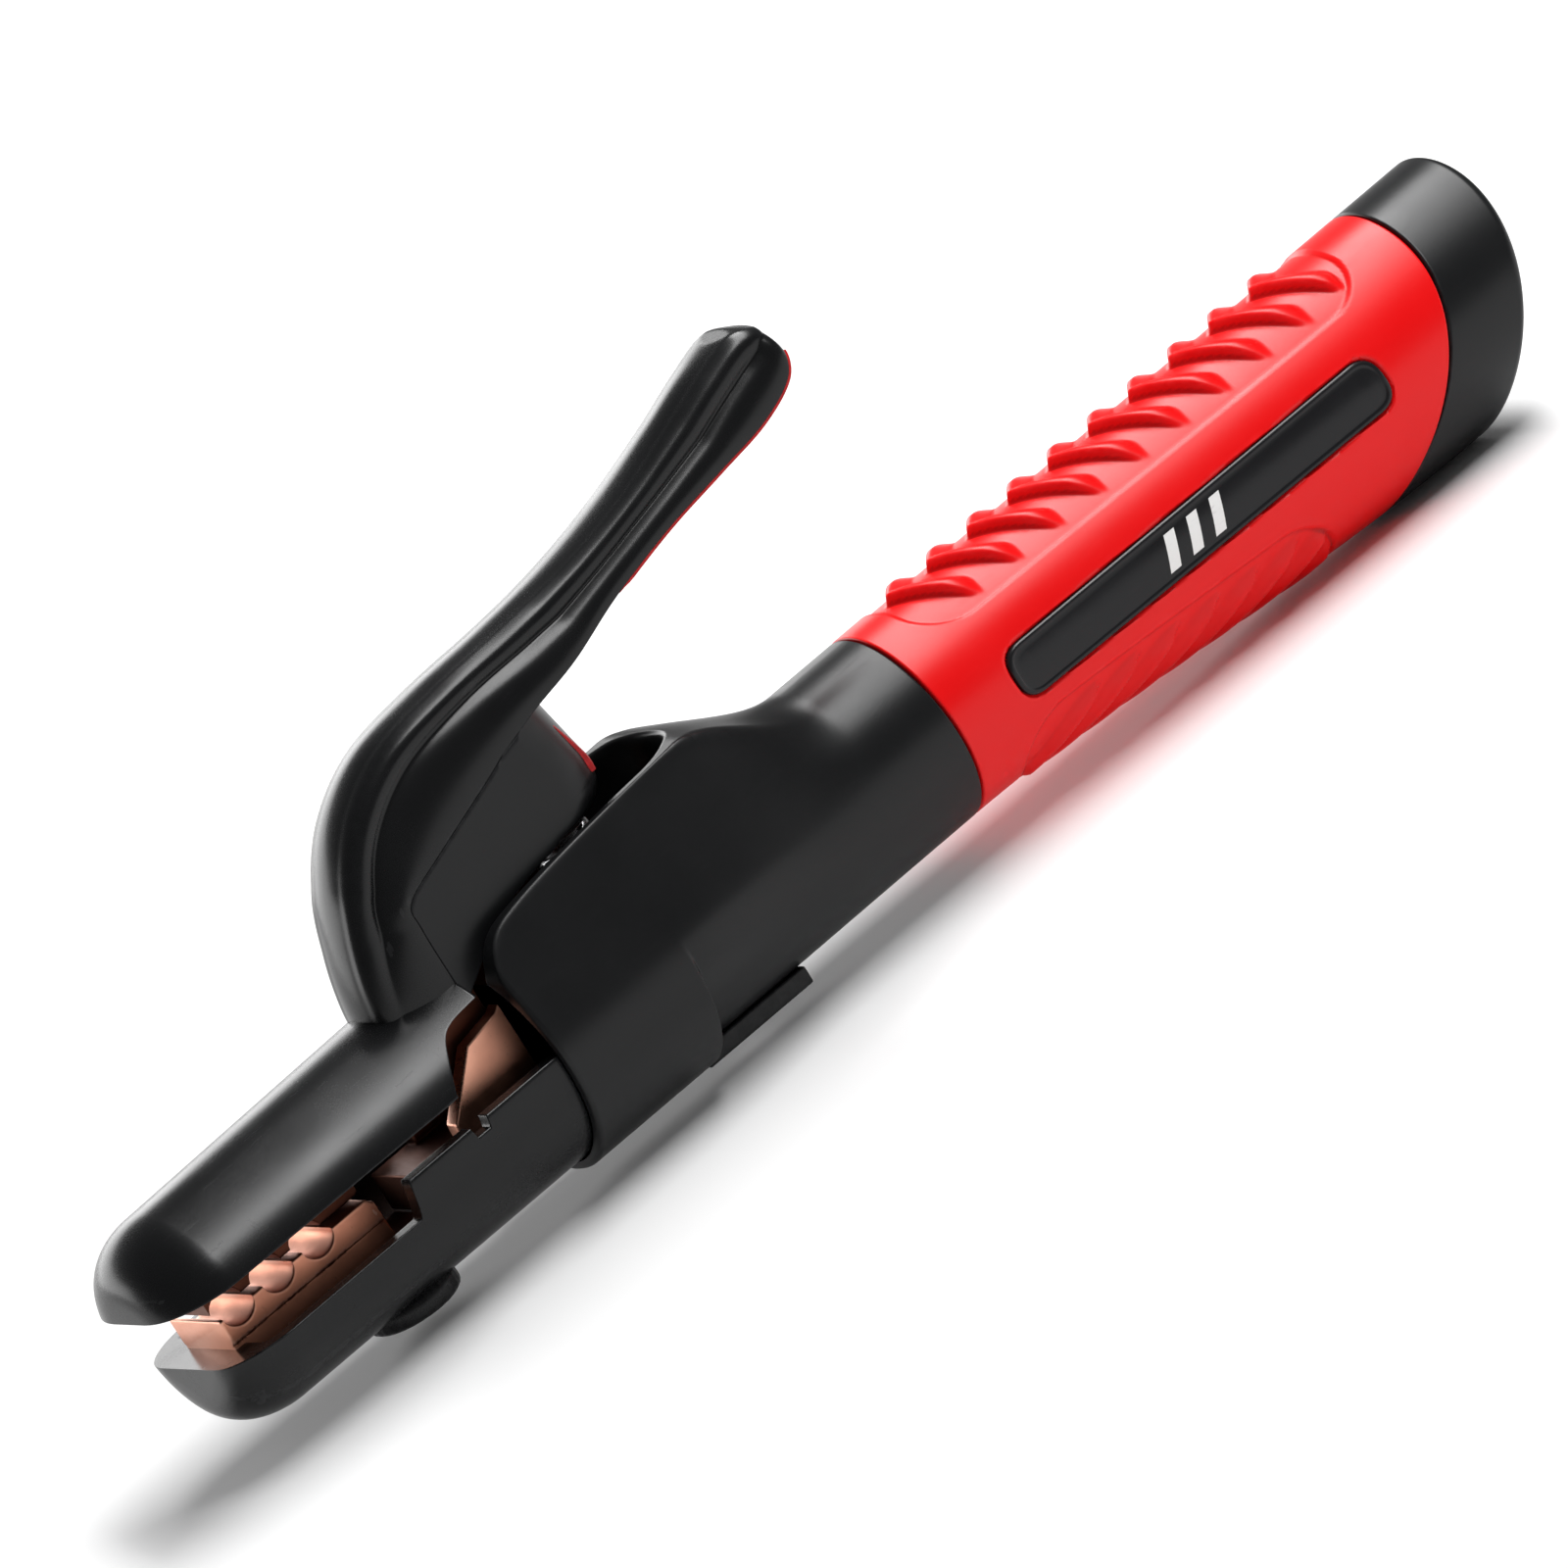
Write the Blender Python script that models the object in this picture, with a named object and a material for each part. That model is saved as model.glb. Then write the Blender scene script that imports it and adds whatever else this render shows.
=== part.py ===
"""Electrode holder for stick welding.

Copper tong jaws in black insulating shells, a front sleeve with an open throat,
a sprung thumb lever, a ribbed red grip and a rear cap with the cable inlet.
"""

import math

import bmesh
import bpy
from mathutils import Matrix, Vector

MM = 0.001

# Driving dimensions in millimetres. x runs along the handle from the seam between the
# sleeve and the grip towards the cable, y is sideways, z is height above the handle axis.
CAP_FRONT_X = -141.0
TROUGH_FRONT_X = -137.5
SLEEVE_FRONT_X = -75.0
TAIL_END_X = 110.0
GAP = 0.3

HANDLE_TOP_Z = 15.0
SEAM_RADIUS = 14.95
TAIL_RADIUS = 17.6
GRIP_END_X = 96.0
GRIP_SWEEP = 23.0
GRIP_SWEEP_POWER = 2.0
TAIL_SWEEP = 16.0
TAIL_SWEEP_POWER = 1.6
RIB_PITCH = 7.7
RIB_COUNT = 10
RIB_HEIGHT = 1.1
UPPER_PANEL = (7.5, 88.0)

SLEEVE_RADIUS = 17.7
COLLAR_HALF_WIDTH = 11.0
COLLAR_TOP_Z = 23.0
STEP_X = -52.0
STEP_RADIUS = 15.1
THROAT_HALF_WIDTH = 9.3
THROAT_END_X = -31.0

TROUGH_RADIUS = 16.0
TROUGH_BORE = 13.4
JAW_EDGE_Z = -3.6
REAR_EDGE_Z = 1.8
UPPER_RADIUS = 18.3
UPPER_TAPER = 1.4
UPPER_BORE = 15.0
UPPER_EDGE_Z = 6.4
UPPER_REAR_X = -78.0

JAW_FRONT_X = -133.0
JAW_REAR_X = -105.0
JAW_HALF_WIDTH = 7.3
JAW_TOP_Z = 0.9
TOOTH_PITCH = 7.4
TOOTH_COUNT = 3
TOOTH_DEPTH = 2.2

PIVOT = (-66.0, 7.0)
PIN_RADIUS = 2.5
BUSH_RADIUS = 4.0
BOSS_RADIUS = 7.5
EAR_OUTER = 8.6
EAR_INNER = 5.65
ARM_HALF_WIDTH = 4.4
WEB_HALF_WIDTH = 8.5
LEVER_INNER_HALF_WIDTH = 7.5
LEVER_BACK_HALF_WIDTH = 6.0
NOSE_TOP = (-44.0, 37.9)
NOSE_MIDDLE = (-41.2, 28.0)
NOSE_LOW = (-41.2, 25.5)
STRIP_Y = 5.6

BAR_BOTTOM_Z = -8.0
BAR_TOP_Z = -2.2
TUBE_RADIUS = 11.8
TUBE_BORE = 9.8
TUBE_X = (-18.0, 95.0)
TAIL_SCREW_X = 89.5
INLET_RADIUS = 7.0
SOCKET_RADIUS = 8.0
SOCKET_BORE = 5.2
SOCKET_X = (10.0, 46.0)
CLAMP_SCREW_X = (22.0, 36.0)

SPRING_X = -50.5
SPRING_RADIUS = 3.9
SPRING_WIRE = 0.6
SPRING_TURNS = 7
SPRING_Z = (-0.3, 21.0)

BUTTON_X = -105.0
BUTTON_RADIUS = 7.2
BUTTON_BOTTOM_Z = -17.8
PLATE_X = (-53.0, -33.5)
PLATE_BOTTOM_Z = -17.0

RING_POINTS = 40
TAIL_CENTRE_Z = HANDLE_TOP_Z - TAIL_RADIUS
BASE_Z = HANDLE_TOP_Z - 2 * TAIL_RADIUS
MIDDLE_X = (CAP_FRONT_X + TAIL_END_X) / 2
FAR = 60.0


def mix(start, end, share):
    """Value a given share of the way from start to end."""
    return start + (end - start) * share


def smooth(share):
    """Ease a share between 0 and 1 so that it starts and stops level."""
    share = min(max(share, 0.0), 1.0)
    return share * share * (3 - 2 * share)


def material(name, colour, roughness, metallic):
    """Principled material of one plain colour."""
    shade = bpy.data.materials.new(name)
    shade.use_nodes = True
    shader = shade.node_tree.nodes["Principled BSDF"]
    shader.inputs["Base Color"].default_value = (*colour, 1.0)
    shader.inputs["Roughness"].default_value = roughness
    shader.inputs["Metallic"].default_value = metallic
    return shade


def add_object(name, bm, shade, parent):
    """Turn a bmesh into an object that hangs from an empty."""
    bmesh.ops.recalc_face_normals(bm, faces=bm.faces)
    mesh = bpy.data.meshes.new(name)
    bm.to_mesh(mesh)
    bm.free()
    mesh.shade_smooth()
    mesh.set_sharp_from_angle(angle=math.radians(35))
    mesh.materials.append(shade)
    piece = bpy.data.objects.new(name, mesh)
    bpy.context.collection.objects.link(piece)
    piece.parent = parent
    piece.matrix_parent_inverse = Matrix.Translation(-parent.location if parent.parent else Vector())
    return piece


def cut(piece, *solids):
    """Take solids away from a piece with hidden Boolean cutters."""
    for number, bm in enumerate(solids):
        cutter = add_object(f"{piece.name}_cutter_{number}", bm, piece.data.materials[0], piece.parent)
        cutter.hide_render = True
        cutter.display_type = "WIRE"
        boolean = piece.modifiers.new(f"cut_{number}", "BOOLEAN")
        boolean.operation = "DIFFERENCE"
        boolean.object = cutter
    return piece


def loft(rings):
    """Skin a row of rings, each a mirror image of itself across y = 0, and close the ends."""
    bm = bmesh.new()
    loops = [[bm.verts.new(Vector(point) * MM) for point in ring] for ring in rings]
    count = len(loops[0])
    for near, far in zip(loops, loops[1:]):
        for i in range(count):
            j = (i + 1) % count
            bm.faces.new((near[i], near[j], far[j], far[i]))
    for loop in (loops[0], loops[-1]):
        for i in range(count // 2):
            strip = (loop[i], loop[i + 1], loop[count - i - 1], loop[-i])
            bm.faces.new(list(dict.fromkeys(strip)))
    return bm


def prism(outline, start, end, axis="Y"):
    """Push a closed outline along an axis; it is drawn in XZ for Y, in XY for Z."""
    bm = bmesh.new()
    layers = []
    for depth in (start, end):
        if axis == "Y":
            points = [(u, depth, v) for u, v in outline]
        else:
            points = [(u, v, depth) for u, v in outline]
        layers.append([bm.verts.new(Vector(point) * MM) for point in points])
    for layer in layers:
        bm.faces.new(layer)
    count = len(outline)
    for i in range(count):
        j = (i + 1) % count
        bm.faces.new((layers[0][i], layers[0][j], layers[1][j], layers[1][i]))
    return bm


def turned(profile, centre, axis, sides=28):
    """Turn a closed profile of (distance along the axis, radius) about an axis."""
    turn = {"X": Matrix.Rotation(math.pi / 2, 4, "Y"),
            "Y": Matrix.Rotation(-math.pi / 2, 4, "X"),
            "Z": Matrix.Identity(4)}[axis]
    bm = bmesh.new()
    rings = []
    for along, radius in profile:
        ring = []
        for k in range(sides if radius > 0 else 1):
            angle = 2 * math.pi * k / sides
            point = turn @ Vector((radius * math.cos(angle), radius * math.sin(angle), along))
            ring.append(bm.verts.new((point + Vector(centre)) * MM))
        rings.append(ring)
    pairs = list(zip(rings, rings[1:]))
    if profile[0][1] > 0:
        pairs.append((rings[-1], rings[0]))
    for near, far in pairs:
        for k in range(sides):
            n = (k + 1) % sides
            quad = (near[k % len(near)], near[n % len(near)], far[n % len(far)], far[k % len(far)])
            bm.faces.new(list(dict.fromkeys(quad)))
    return bm


def rod(start, end, radius, centre, axis, sides=28):
    """Plain cylinder between two places along an axis."""
    return turned([(start, 0), (start, radius), (end, radius), (end, 0)], centre, axis, sides)


def pipe(start, end, outer, inner, centre, axis, sides=28):
    """Cylinder with a bore."""
    return turned([(start, inner), (start, outer), (end, outer), (end, inner)], centre, axis, sides)


def arc(centre, radius, first, last, steps):
    """Points of an arc, angles in degrees from the first axis of the outline."""
    points = []
    for k in range(steps + 1):
        angle = math.radians(mix(first, last, k / steps))
        points.append((centre[0] + radius * math.cos(angle), centre[1] + radius * math.sin(angle)))
    return points


def through(points, steps):
    """Smooth curve through a few points (Catmull-Rom), with steps pieces between each two."""
    padded = [points[0], *points, points[-1]]
    curve = []
    for i in range(1, len(padded) - 2):
        before, near, far, after = (Vector(p) for p in padded[i - 1:i + 3])
        for k in range(steps):
            t = k / steps
            bend = 2 * near + (far - before) * t
            bend += (2 * before - 5 * near + 4 * far - after) * t ** 2
            bend += (3 * near - before - 3 * far + after) * t ** 3
            curve.append(tuple(bend / 2))
    curve.append(tuple(points[-1]))
    return curve


def ring_angles():
    """Angles of a ring's points, from the bottom round by +y."""
    return [2 * math.pi * k / RING_POINTS for k in range(RING_POINTS)]


def handle_radius(x):
    """The handle swells gently towards the tail."""
    return mix(SEAM_RADIUS, TAIL_RADIUS, smooth(x / 90))


def handle_ring(x, sweep=0.0, power=GRIP_SWEEP_POWER, extra=0.0, ribbed=False):
    """Handle section: the top stays level and the bottom drops as the radius grows.

    Low points shift forward by sweep, which makes the slanted ends.
    """
    ring = []
    for angle in ring_angles():
        radius = handle_radius(x)
        height = HANDLE_TOP_Z - radius - radius * math.cos(angle)
        depth = (HANDLE_TOP_Z - height) / (2 * TAIL_RADIUS)
        shift = sweep * depth ** power
        place = x - shift
        radius = handle_radius(place)
        swell = radius + extra
        if ribbed:
            swell += rib_height(place, angle)
        centre = HANDLE_TOP_Z - radius
        ring.append((place, swell * math.sin(angle), centre - swell * math.cos(angle)))
    return ring


def rib_height(x, angle):
    """Height of the slanting ribs over the upper panel of the grip."""
    from_top = abs(math.degrees(math.pi - angle))
    if from_top > 50 or not UPPER_PANEL[0] < x < UPPER_PANEL[1]:
        return 0.0
    place = (x - 9 * from_top / 50 - UPPER_PANEL[0]) / RIB_PITCH
    if not 0 < place < RIB_COUNT:
        return 0.0
    return RIB_HEIGHT * max(0.0, math.sin(2 * math.pi * place))


def sleeve_radius(x, angle):
    """The sleeve steps in sharply underneath and fades in gently higher up."""
    low = mix(SLEEVE_RADIUS, STEP_RADIUS, smooth((x - STEP_X) / 1.0))
    low = mix(low, SEAM_RADIUS, smooth((x - STEP_X) / -STEP_X))
    high = mix(SLEEVE_RADIUS, SEAM_RADIUS, smooth((x - STEP_X) / 30))
    return mix(low, high, smooth((math.degrees(angle) - 60) / 40))


def sleeve_ring(x):
    """Sleeve section: round below, with walls that lean in to the collar above."""
    collar = 1 - smooth((x + 34) / 22)
    half = []
    steps = RING_POINTS // 2
    for k in range(steps + 1):
        angle = math.pi * k / steps
        radius = sleeve_radius(x, angle)
        y = radius * math.sin(angle)
        z = -radius * math.cos(angle)
        reach = math.hypot(COLLAR_HALF_WIDTH, COLLAR_TOP_Z)
        lean = math.atan2(COLLAR_TOP_Z, COLLAR_HALF_WIDTH) - math.acos(radius / reach)
        tangent = math.pi / 2 + lean
        corner = 0.8 * math.pi
        if angle > corner:
            share = (angle - corner) / (math.pi - corner)
            y = mix(y, COLLAR_HALF_WIDTH * (1 - share), collar)
            z = mix(z, COLLAR_TOP_Z, collar)
        elif angle > tangent:
            share = (angle - tangent) / (corner - tangent)
            start_y = radius * math.sin(tangent)
            start_z = -radius * math.cos(tangent)
            y = mix(y, mix(start_y, COLLAR_HALF_WIDTH, share), collar)
            z = mix(z, mix(start_z, COLLAR_TOP_Z, share), collar)
        half.append((x, y, z))
    mirrored = [(px, -py, pz) for px, py, pz in reversed(half[1:-1])]
    return half + mirrored


def shell_rings(radius, edge_z, tip_x, body_x, end_x, tip_share, taper=0.0):
    """Round bar whose section shrinks about a point on its edge plane towards the tip."""
    steps = 6
    places = [mix(tip_x, body_x, 1 - math.cos(math.pi / 2 * k / steps)) for k in range(steps)]
    places += [body_x, mix(body_x, end_x, 0.5), end_x]
    rings = []
    for x in places:
        reach = max(0.0, (body_x - x) / (body_x - tip_x))
        size = mix(tip_share, 1.0, math.sqrt(1 - reach ** 2))
        body = radius - taper * (end_x - x) / (end_x - tip_x)
        ring = []
        for angle in ring_angles():
            y = body * math.sin(angle) * size
            z = edge_z + (-body * math.cos(angle) - edge_z) * size
            ring.append((x, y, z))
        rings.append(ring)
    return rings


def tooth_row(valley_side):
    """Edge with round grooves from the front of a jaw to its back; +1 cuts down, -1 fills."""
    points = []
    for k in range(TOOTH_COUNT):
        middle = JAW_FRONT_X + 3.6 + TOOTH_PITCH * k
        for step in range(7):
            share = step / 6
            x = middle - 2.6 + 5.2 * share
            points.append((x, JAW_TOP_Z - valley_side * TOOTH_DEPTH * math.sin(math.pi * share)))
    return points


def lower_jaw(shade, parent):
    """Fixed copper jaw with a foot behind for its screw."""
    outline = [(JAW_FRONT_X, -10.8), (JAW_FRONT_X, JAW_TOP_Z), *tooth_row(1),
               (JAW_REAR_X, JAW_TOP_Z), (JAW_REAR_X, -3.5), (-97.0, -3.5), (-97.0, -10.8)]
    jaw = add_object("lower_jaw_contact", prism(outline, -JAW_HALF_WIDTH, JAW_HALF_WIDTH), shade, parent)
    cut(jaw, rod(-12, -5.2, 2.3, (BUTTON_X, 0, 0), "Z", 20))


def upper_jaw(shade, parent):
    """Moving copper jaw, its teeth in the grooves of the lower one."""
    teeth = [(x, z + GAP) for x, z in tooth_row(1)]
    edge = JAW_TOP_Z + GAP
    outline = [(JAW_FRONT_X + 0.5, 8.0), (JAW_FRONT_X + 0.5, edge), *teeth, (JAW_REAR_X, edge), (JAW_REAR_X, 8.0)]
    jaw = add_object("upper_jaw_contact", prism(outline, -JAW_HALF_WIDTH, JAW_HALF_WIDTH), shade, parent)
    cut(jaw, rod(3.4, 9, 2.3, (-112, 0, 0), "Z", 20))


def conductor(shade, parent):
    """Copper bar with two ears that carry the pivot pin."""
    side = [(-96.7, BAR_BOTTOM_Z), (-96.7, BAR_TOP_Z), (-89.8, BAR_TOP_Z), (-89.5, 1.0), (-82.0, 8.5),
            (-76.0, 9.5), *arc(PIVOT, 8.0, 140, 0, 8), (-54.5, BAR_TOP_Z), (9.7, BAR_TOP_Z),
            (9.7, BAR_BOTTOM_Z)]
    bar = add_object("conductor_arm", prism(side, -EAR_OUTER, EAR_OUTER), shade, parent)
    between = [(-100, BAR_TOP_Z), (-100, 20), (-50, 20), (-50, BAR_TOP_Z)]
    lock_hole = rod(-12, -4.5, 2.3, (-43.0, 0, 0), "Z", 20)
    pin_hole = rod(-12, 12, PIN_RADIUS + GAP, (PIVOT[0], 0, PIVOT[1]), "Y", 24)
    tail = [(-22, -12), (12, -12), (12, 0), (-22, 0)]
    narrow = [prism(tail, side * 5.0, side * 12) for side in (-1, 1)]
    cut(bar, prism(between, -EAR_INNER, EAR_INNER), pin_hole, lock_hole, *narrow)


def lower_insulator(shade, parent):
    """Half-round trough under the fixed jaw, with a solid front lip."""
    rings = shell_rings(TROUGH_RADIUS, JAW_EDGE_Z, TROUGH_FRONT_X, -127.5, -64.5, 0.5)
    trough = add_object("lower_jaw_insulator", loft(rings), shade, parent)
    above = [(-150, JAW_EDGE_Z), (-104.0, JAW_EDGE_Z), (-102.5, REAR_EDGE_Z), (-91.0, REAR_EDGE_Z),
             (-91.0, 0.2), (-88.5, 0.2), (-88.0, REAR_EDGE_Z), (-60, REAR_EDGE_Z), (-60, FAR), (-150, FAR)]
    bore = rod(JAW_FRONT_X - GAP, -60, TROUGH_BORE, (0, 0, 0), "X", 32)
    cut(trough, prism(above, -20, 20), bore, rod(-20, -10, 2.3, (BUTTON_X, 0, 0), "Z", 20))


def lower_button(shade, metal, parent):
    """Round button that covers the head of the jaw's screw."""
    top = -TROUGH_RADIUS + 1.3
    profile = [(BUTTON_BOTTOM_Z, 0), (BUTTON_BOTTOM_Z, BUTTON_RADIUS - 0.6),
               (BUTTON_BOTTOM_Z + 0.6, BUTTON_RADIUS), (top, BUTTON_RADIUS), (top, 0)]
    button = add_object("lower_jaw_button", turned(profile, (BUTTON_X, 0, 0), "Z", 32), shade, parent)
    hug = rod(BUTTON_X - 10, BUTTON_X + 10, TROUGH_RADIUS + GAP, (0, 0, 0), "X", 48)
    cut(button, hug)
    add_object("lower_jaw_screw", rod(-15.9, -6.0, 2.0, (BUTTON_X, 0, 0), "Z", 20), metal, parent)


def upper_insulator(shade, parent):
    """Half-round cap over the moving jaw, open where the lever's foot comes through."""
    rings = shell_rings(UPPER_RADIUS, UPPER_EDGE_Z, CAP_FRONT_X, -131.0, UPPER_REAR_X, 0.3, UPPER_TAPER)
    cap = add_object("upper_jaw_insulator", loft(rings), shade, parent)
    below = [(-150, UPPER_EDGE_Z), (-150, -FAR), (-60, -FAR), (-60, 14.0), (-79.0, 14.0), (-83.5, 13.6),
             (-86.0, 12.4), (-88.5, 9.6), (-90.5, UPPER_EDGE_Z)]
    foot = [(-89.8, -8.0), (-60, -8.0), (-60, 8.0), (-89.8, 8.0)]
    bore = rod(JAW_FRONT_X - 0.5, -60, UPPER_BORE, (0, 0, -1.0), "X", 32)
    cut(cap, prism(below, -25, 25), bore, prism(foot, 12.5, FAR, "Z"))


def upper_arm(shade, metal, parent):
    """Copper arm from the moving jaw over the pivot and up into the lever."""
    outline = [(-131.0, 12.2), (-131.0, 8.3), (-104.0, 8.3), (-104.0, 5.6), (-90.0, 4.6), (-77.0, 2.0),
               *arc(PIVOT, BOSS_RADIUS, 225, 370, 10), (-57.5, 20.0), (-52.0, 24.5), (-52.0, 32.0),
               (-74.0, 25.6), (-75.5, 23.5), (-76.0, 12.2)]
    arm = add_object("upper_arm", prism(outline, -ARM_HALF_WIDTH, ARM_HALF_WIDTH), shade, parent)
    centre = (PIVOT[0], 0, PIVOT[1])
    cut(arm, rod(-9, 9, BUSH_RADIUS + GAP, centre, "Y", 28), rod(7, 20, 2.3, (-112, 0, 0), "Z", 20))
    add_object("upper_jaw_screw", rod(3.9, 12.6, 2.0, (-112, 0, 0), "Z", 20), metal, parent)


def pivot(metal, brass, nylon, fixed, moving):
    """Pivot pin in the ears, a bush in the arm and a washer on each side."""
    centre = (PIVOT[0], 0, PIVOT[1])
    add_object("pivot_pin", rod(-EAR_OUTER, EAR_OUTER, PIN_RADIUS, centre, "Y"), metal, fixed)
    half = ARM_HALF_WIDTH
    add_object("pivot_bush", pipe(-half, half, BUSH_RADIUS, PIN_RADIUS + 0.2, centre, "Y"), brass, moving)
    for name, side in (("left", 1), ("right", -1)):
        near, far = sorted((side * (half + 0.2), side * (EAR_INNER - 0.2)))
        washer = pipe(near, far, BOSS_RADIUS - 1, PIN_RADIUS + 0.2, centre, "Y")
        add_object(f"pivot_washer_{name}", washer, nylon, fixed)


def sleeve(shade, parent):
    """Front sleeve with its bore, front recess and lever throat."""
    places = [SLEEVE_FRONT_X, -64.0, STEP_X, STEP_X + 0.5, STEP_X + 1.0, -47.0, -41.0, -34.0]
    places += [-30.0, -27.0, -24.0, -21.0, -18.0, -15.0, -12.0, -6.0, 0.0]
    body = add_object("front_sleeve", loft([sleeve_ring(x) for x in places]), shade, parent)
    corner = [(-80, 12.0), (-75.3, 12.5), (-74.6, 15.0), (-73.2, 17.4), (-71.0, 19.2), (-67.5, 20.2),
              (-60.0, 21.2), (-48.0, 22.2), (-34.0, 23.2), (-34.0, FAR), (-80, FAR)]
    radius = THROAT_HALF_WIDTH
    throat = [(-80, -radius), *arc((THROAT_END_X - radius, 0), radius, -90, 90, 10), (-80, radius)]
    recess = rod(-80, -64.0, TROUGH_RADIUS + GAP, (0, 0, 0), "X", 40)
    bore = rod(-66, 5, TUBE_RADIUS + GAP, (0, 0, 0), "X", 32)
    plate = [(PLATE_X[0] - GAP, -6.3), (PLATE_X[1] + GAP, -6.3), (PLATE_X[1] + GAP, 6.3), (PLATE_X[0] - GAP, 6.3)]
    cut(body, prism(corner, -25, 25), recess, bore, prism(throat, 0.0, FAR, "Z"),
        prism(plate, -20, -14.0, "Z"), rod(-20, -10, 2.3, (-43.0, 0, 0), "Z", 20))


def lock_plate(shade, metal, parent):
    """Plate let into the sleeve's underside, with the screw that locks the sleeve."""
    outline = [(PLATE_X[0], -6), (PLATE_X[1], -6), (PLATE_X[1], 6), (PLATE_X[0], 6)]
    plate = prism(outline, PLATE_BOTTOM_Z, -14.0 - GAP, "Z")
    piece = add_object("sleeve_lock_plate", plate, shade, parent)
    cut(piece, rod(-20, -13, 3.9, (-43.0, 0, 0), "Z", 24))
    profile = [(-16.4, 0), (-16.4, 3.5), (-14.4, 3.5), (-14.4, 2.0), (-5.0, 2.0), (-5.0, 0)]
    screw = turned(profile, (-43.0, 0, 0), "Z", 24)
    add_object("sleeve_lock_screw", screw, metal, parent)


LEVER_BACK = [(-89.3, 13.2), (-89.0, 19.0), (-87.0, 26.5), (-83.2, 34.8), (-77.0, 42.0), (-68.0, 46.7),
              (-56.0, 48.3), (-43.0, 48.8), (-30.0, 49.8), (-18.0, 52.0), (-7.0, 55.2), (1.5, 58.0),
              (8.0, 59.6), (12.0, 58.2)]
LEVER_INNER = [(-78.0, 13.2), (-78.0, 19.0), (-77.8, 25.0), (-77.0, 28.6), (-70.0, 31.2), (-60.0, 34.3),
               (-48.5, 37.8), (-38.0, 39.8), (-28.0, 42.6), (-16.0, 45.2), (-5.0, 46.7), (4.0, 48.0),
               (10.5, 50.6), (12.8, 54.6)]


def lever_cover(shade, parent):
    """Thumb lever: a section swept up the S-curve between its back and its inner edge."""
    rings = []
    back = through(LEVER_BACK, 3)
    inner = through(LEVER_INNER, 3)
    for (bx, bz), (ix, iz) in zip(back, inner):
        near = Vector((ix, iz))
        far = Vector((bx, bz))
        ring = []
        for share, width in ((0, 0), (0, LEVER_INNER_HALF_WIDTH - 0.6), (0.07, LEVER_INNER_HALF_WIDTH),
                             (0.55, LEVER_INNER_HALF_WIDTH - 0.5), (0.86, LEVER_BACK_HALF_WIDTH),
                             (0.97, LEVER_BACK_HALF_WIDTH - 1.4), (1, 0)):
            spot = near.lerp(far, share)
            ring.append((spot.x, width, spot.y))
        ring += [(x, -y, z) for x, y, z in reversed(ring[1:-1])]
        rings.append(ring)
    tip_start, tip = rings[-2], rings[-1]
    middle = Vector(tip[0]).lerp(Vector(tip[len(tip) // 2]), 0.5)
    rings[-1] = [middle.lerp(Vector(point), 0.6) + Vector((0.6, 0, 0.2)) for point in tip]
    rings[-2] = [middle.lerp(Vector(point), 0.96) for point in tip_start]
    add_object("lever_cover", loft(rings), shade, parent)


def ribbon(points, inward, outward):
    """Strip outline that follows a line of points; inward is to the left of the line."""
    curve = [Vector(point) for point in through(points, 2)]
    sides = ([], [])
    for i, spot in enumerate(curve):
        along = curve[min(i + 1, len(curve) - 1)] - curve[max(i - 1, 0)]
        left = Vector((-along.y, along.x)).normalized()
        sides[0].append(tuple(spot + left * inward))
        sides[1].append(tuple(spot + left * outward))
    return sides[0] + sides[1][::-1]


def lever_liners(shade, parent):
    """Red sheet under the lever and a red strip on each side of its web's nose."""
    half = LEVER_INNER_HALF_WIDTH - 0.4
    sheet = ribbon(LEVER_INNER[7:13], -0.2, -0.65)
    add_object("lever_liner", prism(sheet, -half, half), shade, parent)
    for name, side in (("left", 1), ("right", -1)):
        near, far = sorted((side * (STRIP_Y - 0.25), side * (STRIP_Y + 0.25)))
        strip = prism(strip_outline(0.2, -1.5, 0.0), near, far)
        add_object(f"web_liner_{name}", strip, shade, parent)


def strip_outline(outward, inward, grow):
    """Outline of a strip that follows the nose of the web at the strip's depth."""
    nose = nose_depth(STRIP_Y)
    line = [(NOSE_TOP[0] - nose, NOSE_TOP[1] - 1.2 + grow), (NOSE_MIDDLE[0] - nose, NOSE_MIDDLE[1]),
            (NOSE_LOW[0] - nose, NOSE_LOW[1] - grow)]
    outer = [(x + outward, z) for x, z in line]
    inner = [(x + inward - grow, z) for x, z in line]
    return outer + inner[::-1]


def nose_depth(y):
    """How far the round nose of the web has drawn back at a distance from the middle."""
    return WEB_HALF_WIDTH - math.sqrt(max(WEB_HALF_WIDTH ** 2 - y ** 2, 0.0))


def web_section(y):
    """Outline of the lever's web at one depth."""
    nose = nose_depth(y)
    drop = 0.28 * nose
    outline = [(-77.6, 13.4), (-77.6, 19.0), (-77.4, 25.0), (-76.6, 28.2), (-70.0, 30.8), (-60.0, 33.9),
               (-53.2, 35.9), (NOSE_TOP[0] - nose, NOSE_TOP[1] - drop), (NOSE_MIDDLE[0] - nose, NOSE_MIDDLE[1]),
               (NOSE_LOW[0] - nose, NOSE_LOW[1]), (NOSE_LOW[0] - 2.4 - nose, 22.2), (-58.0, 22.0),
               (-62.0, 15.6), (-70.0, 15.6)]
    return [(x, y, z) for x, z in outline]


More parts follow.
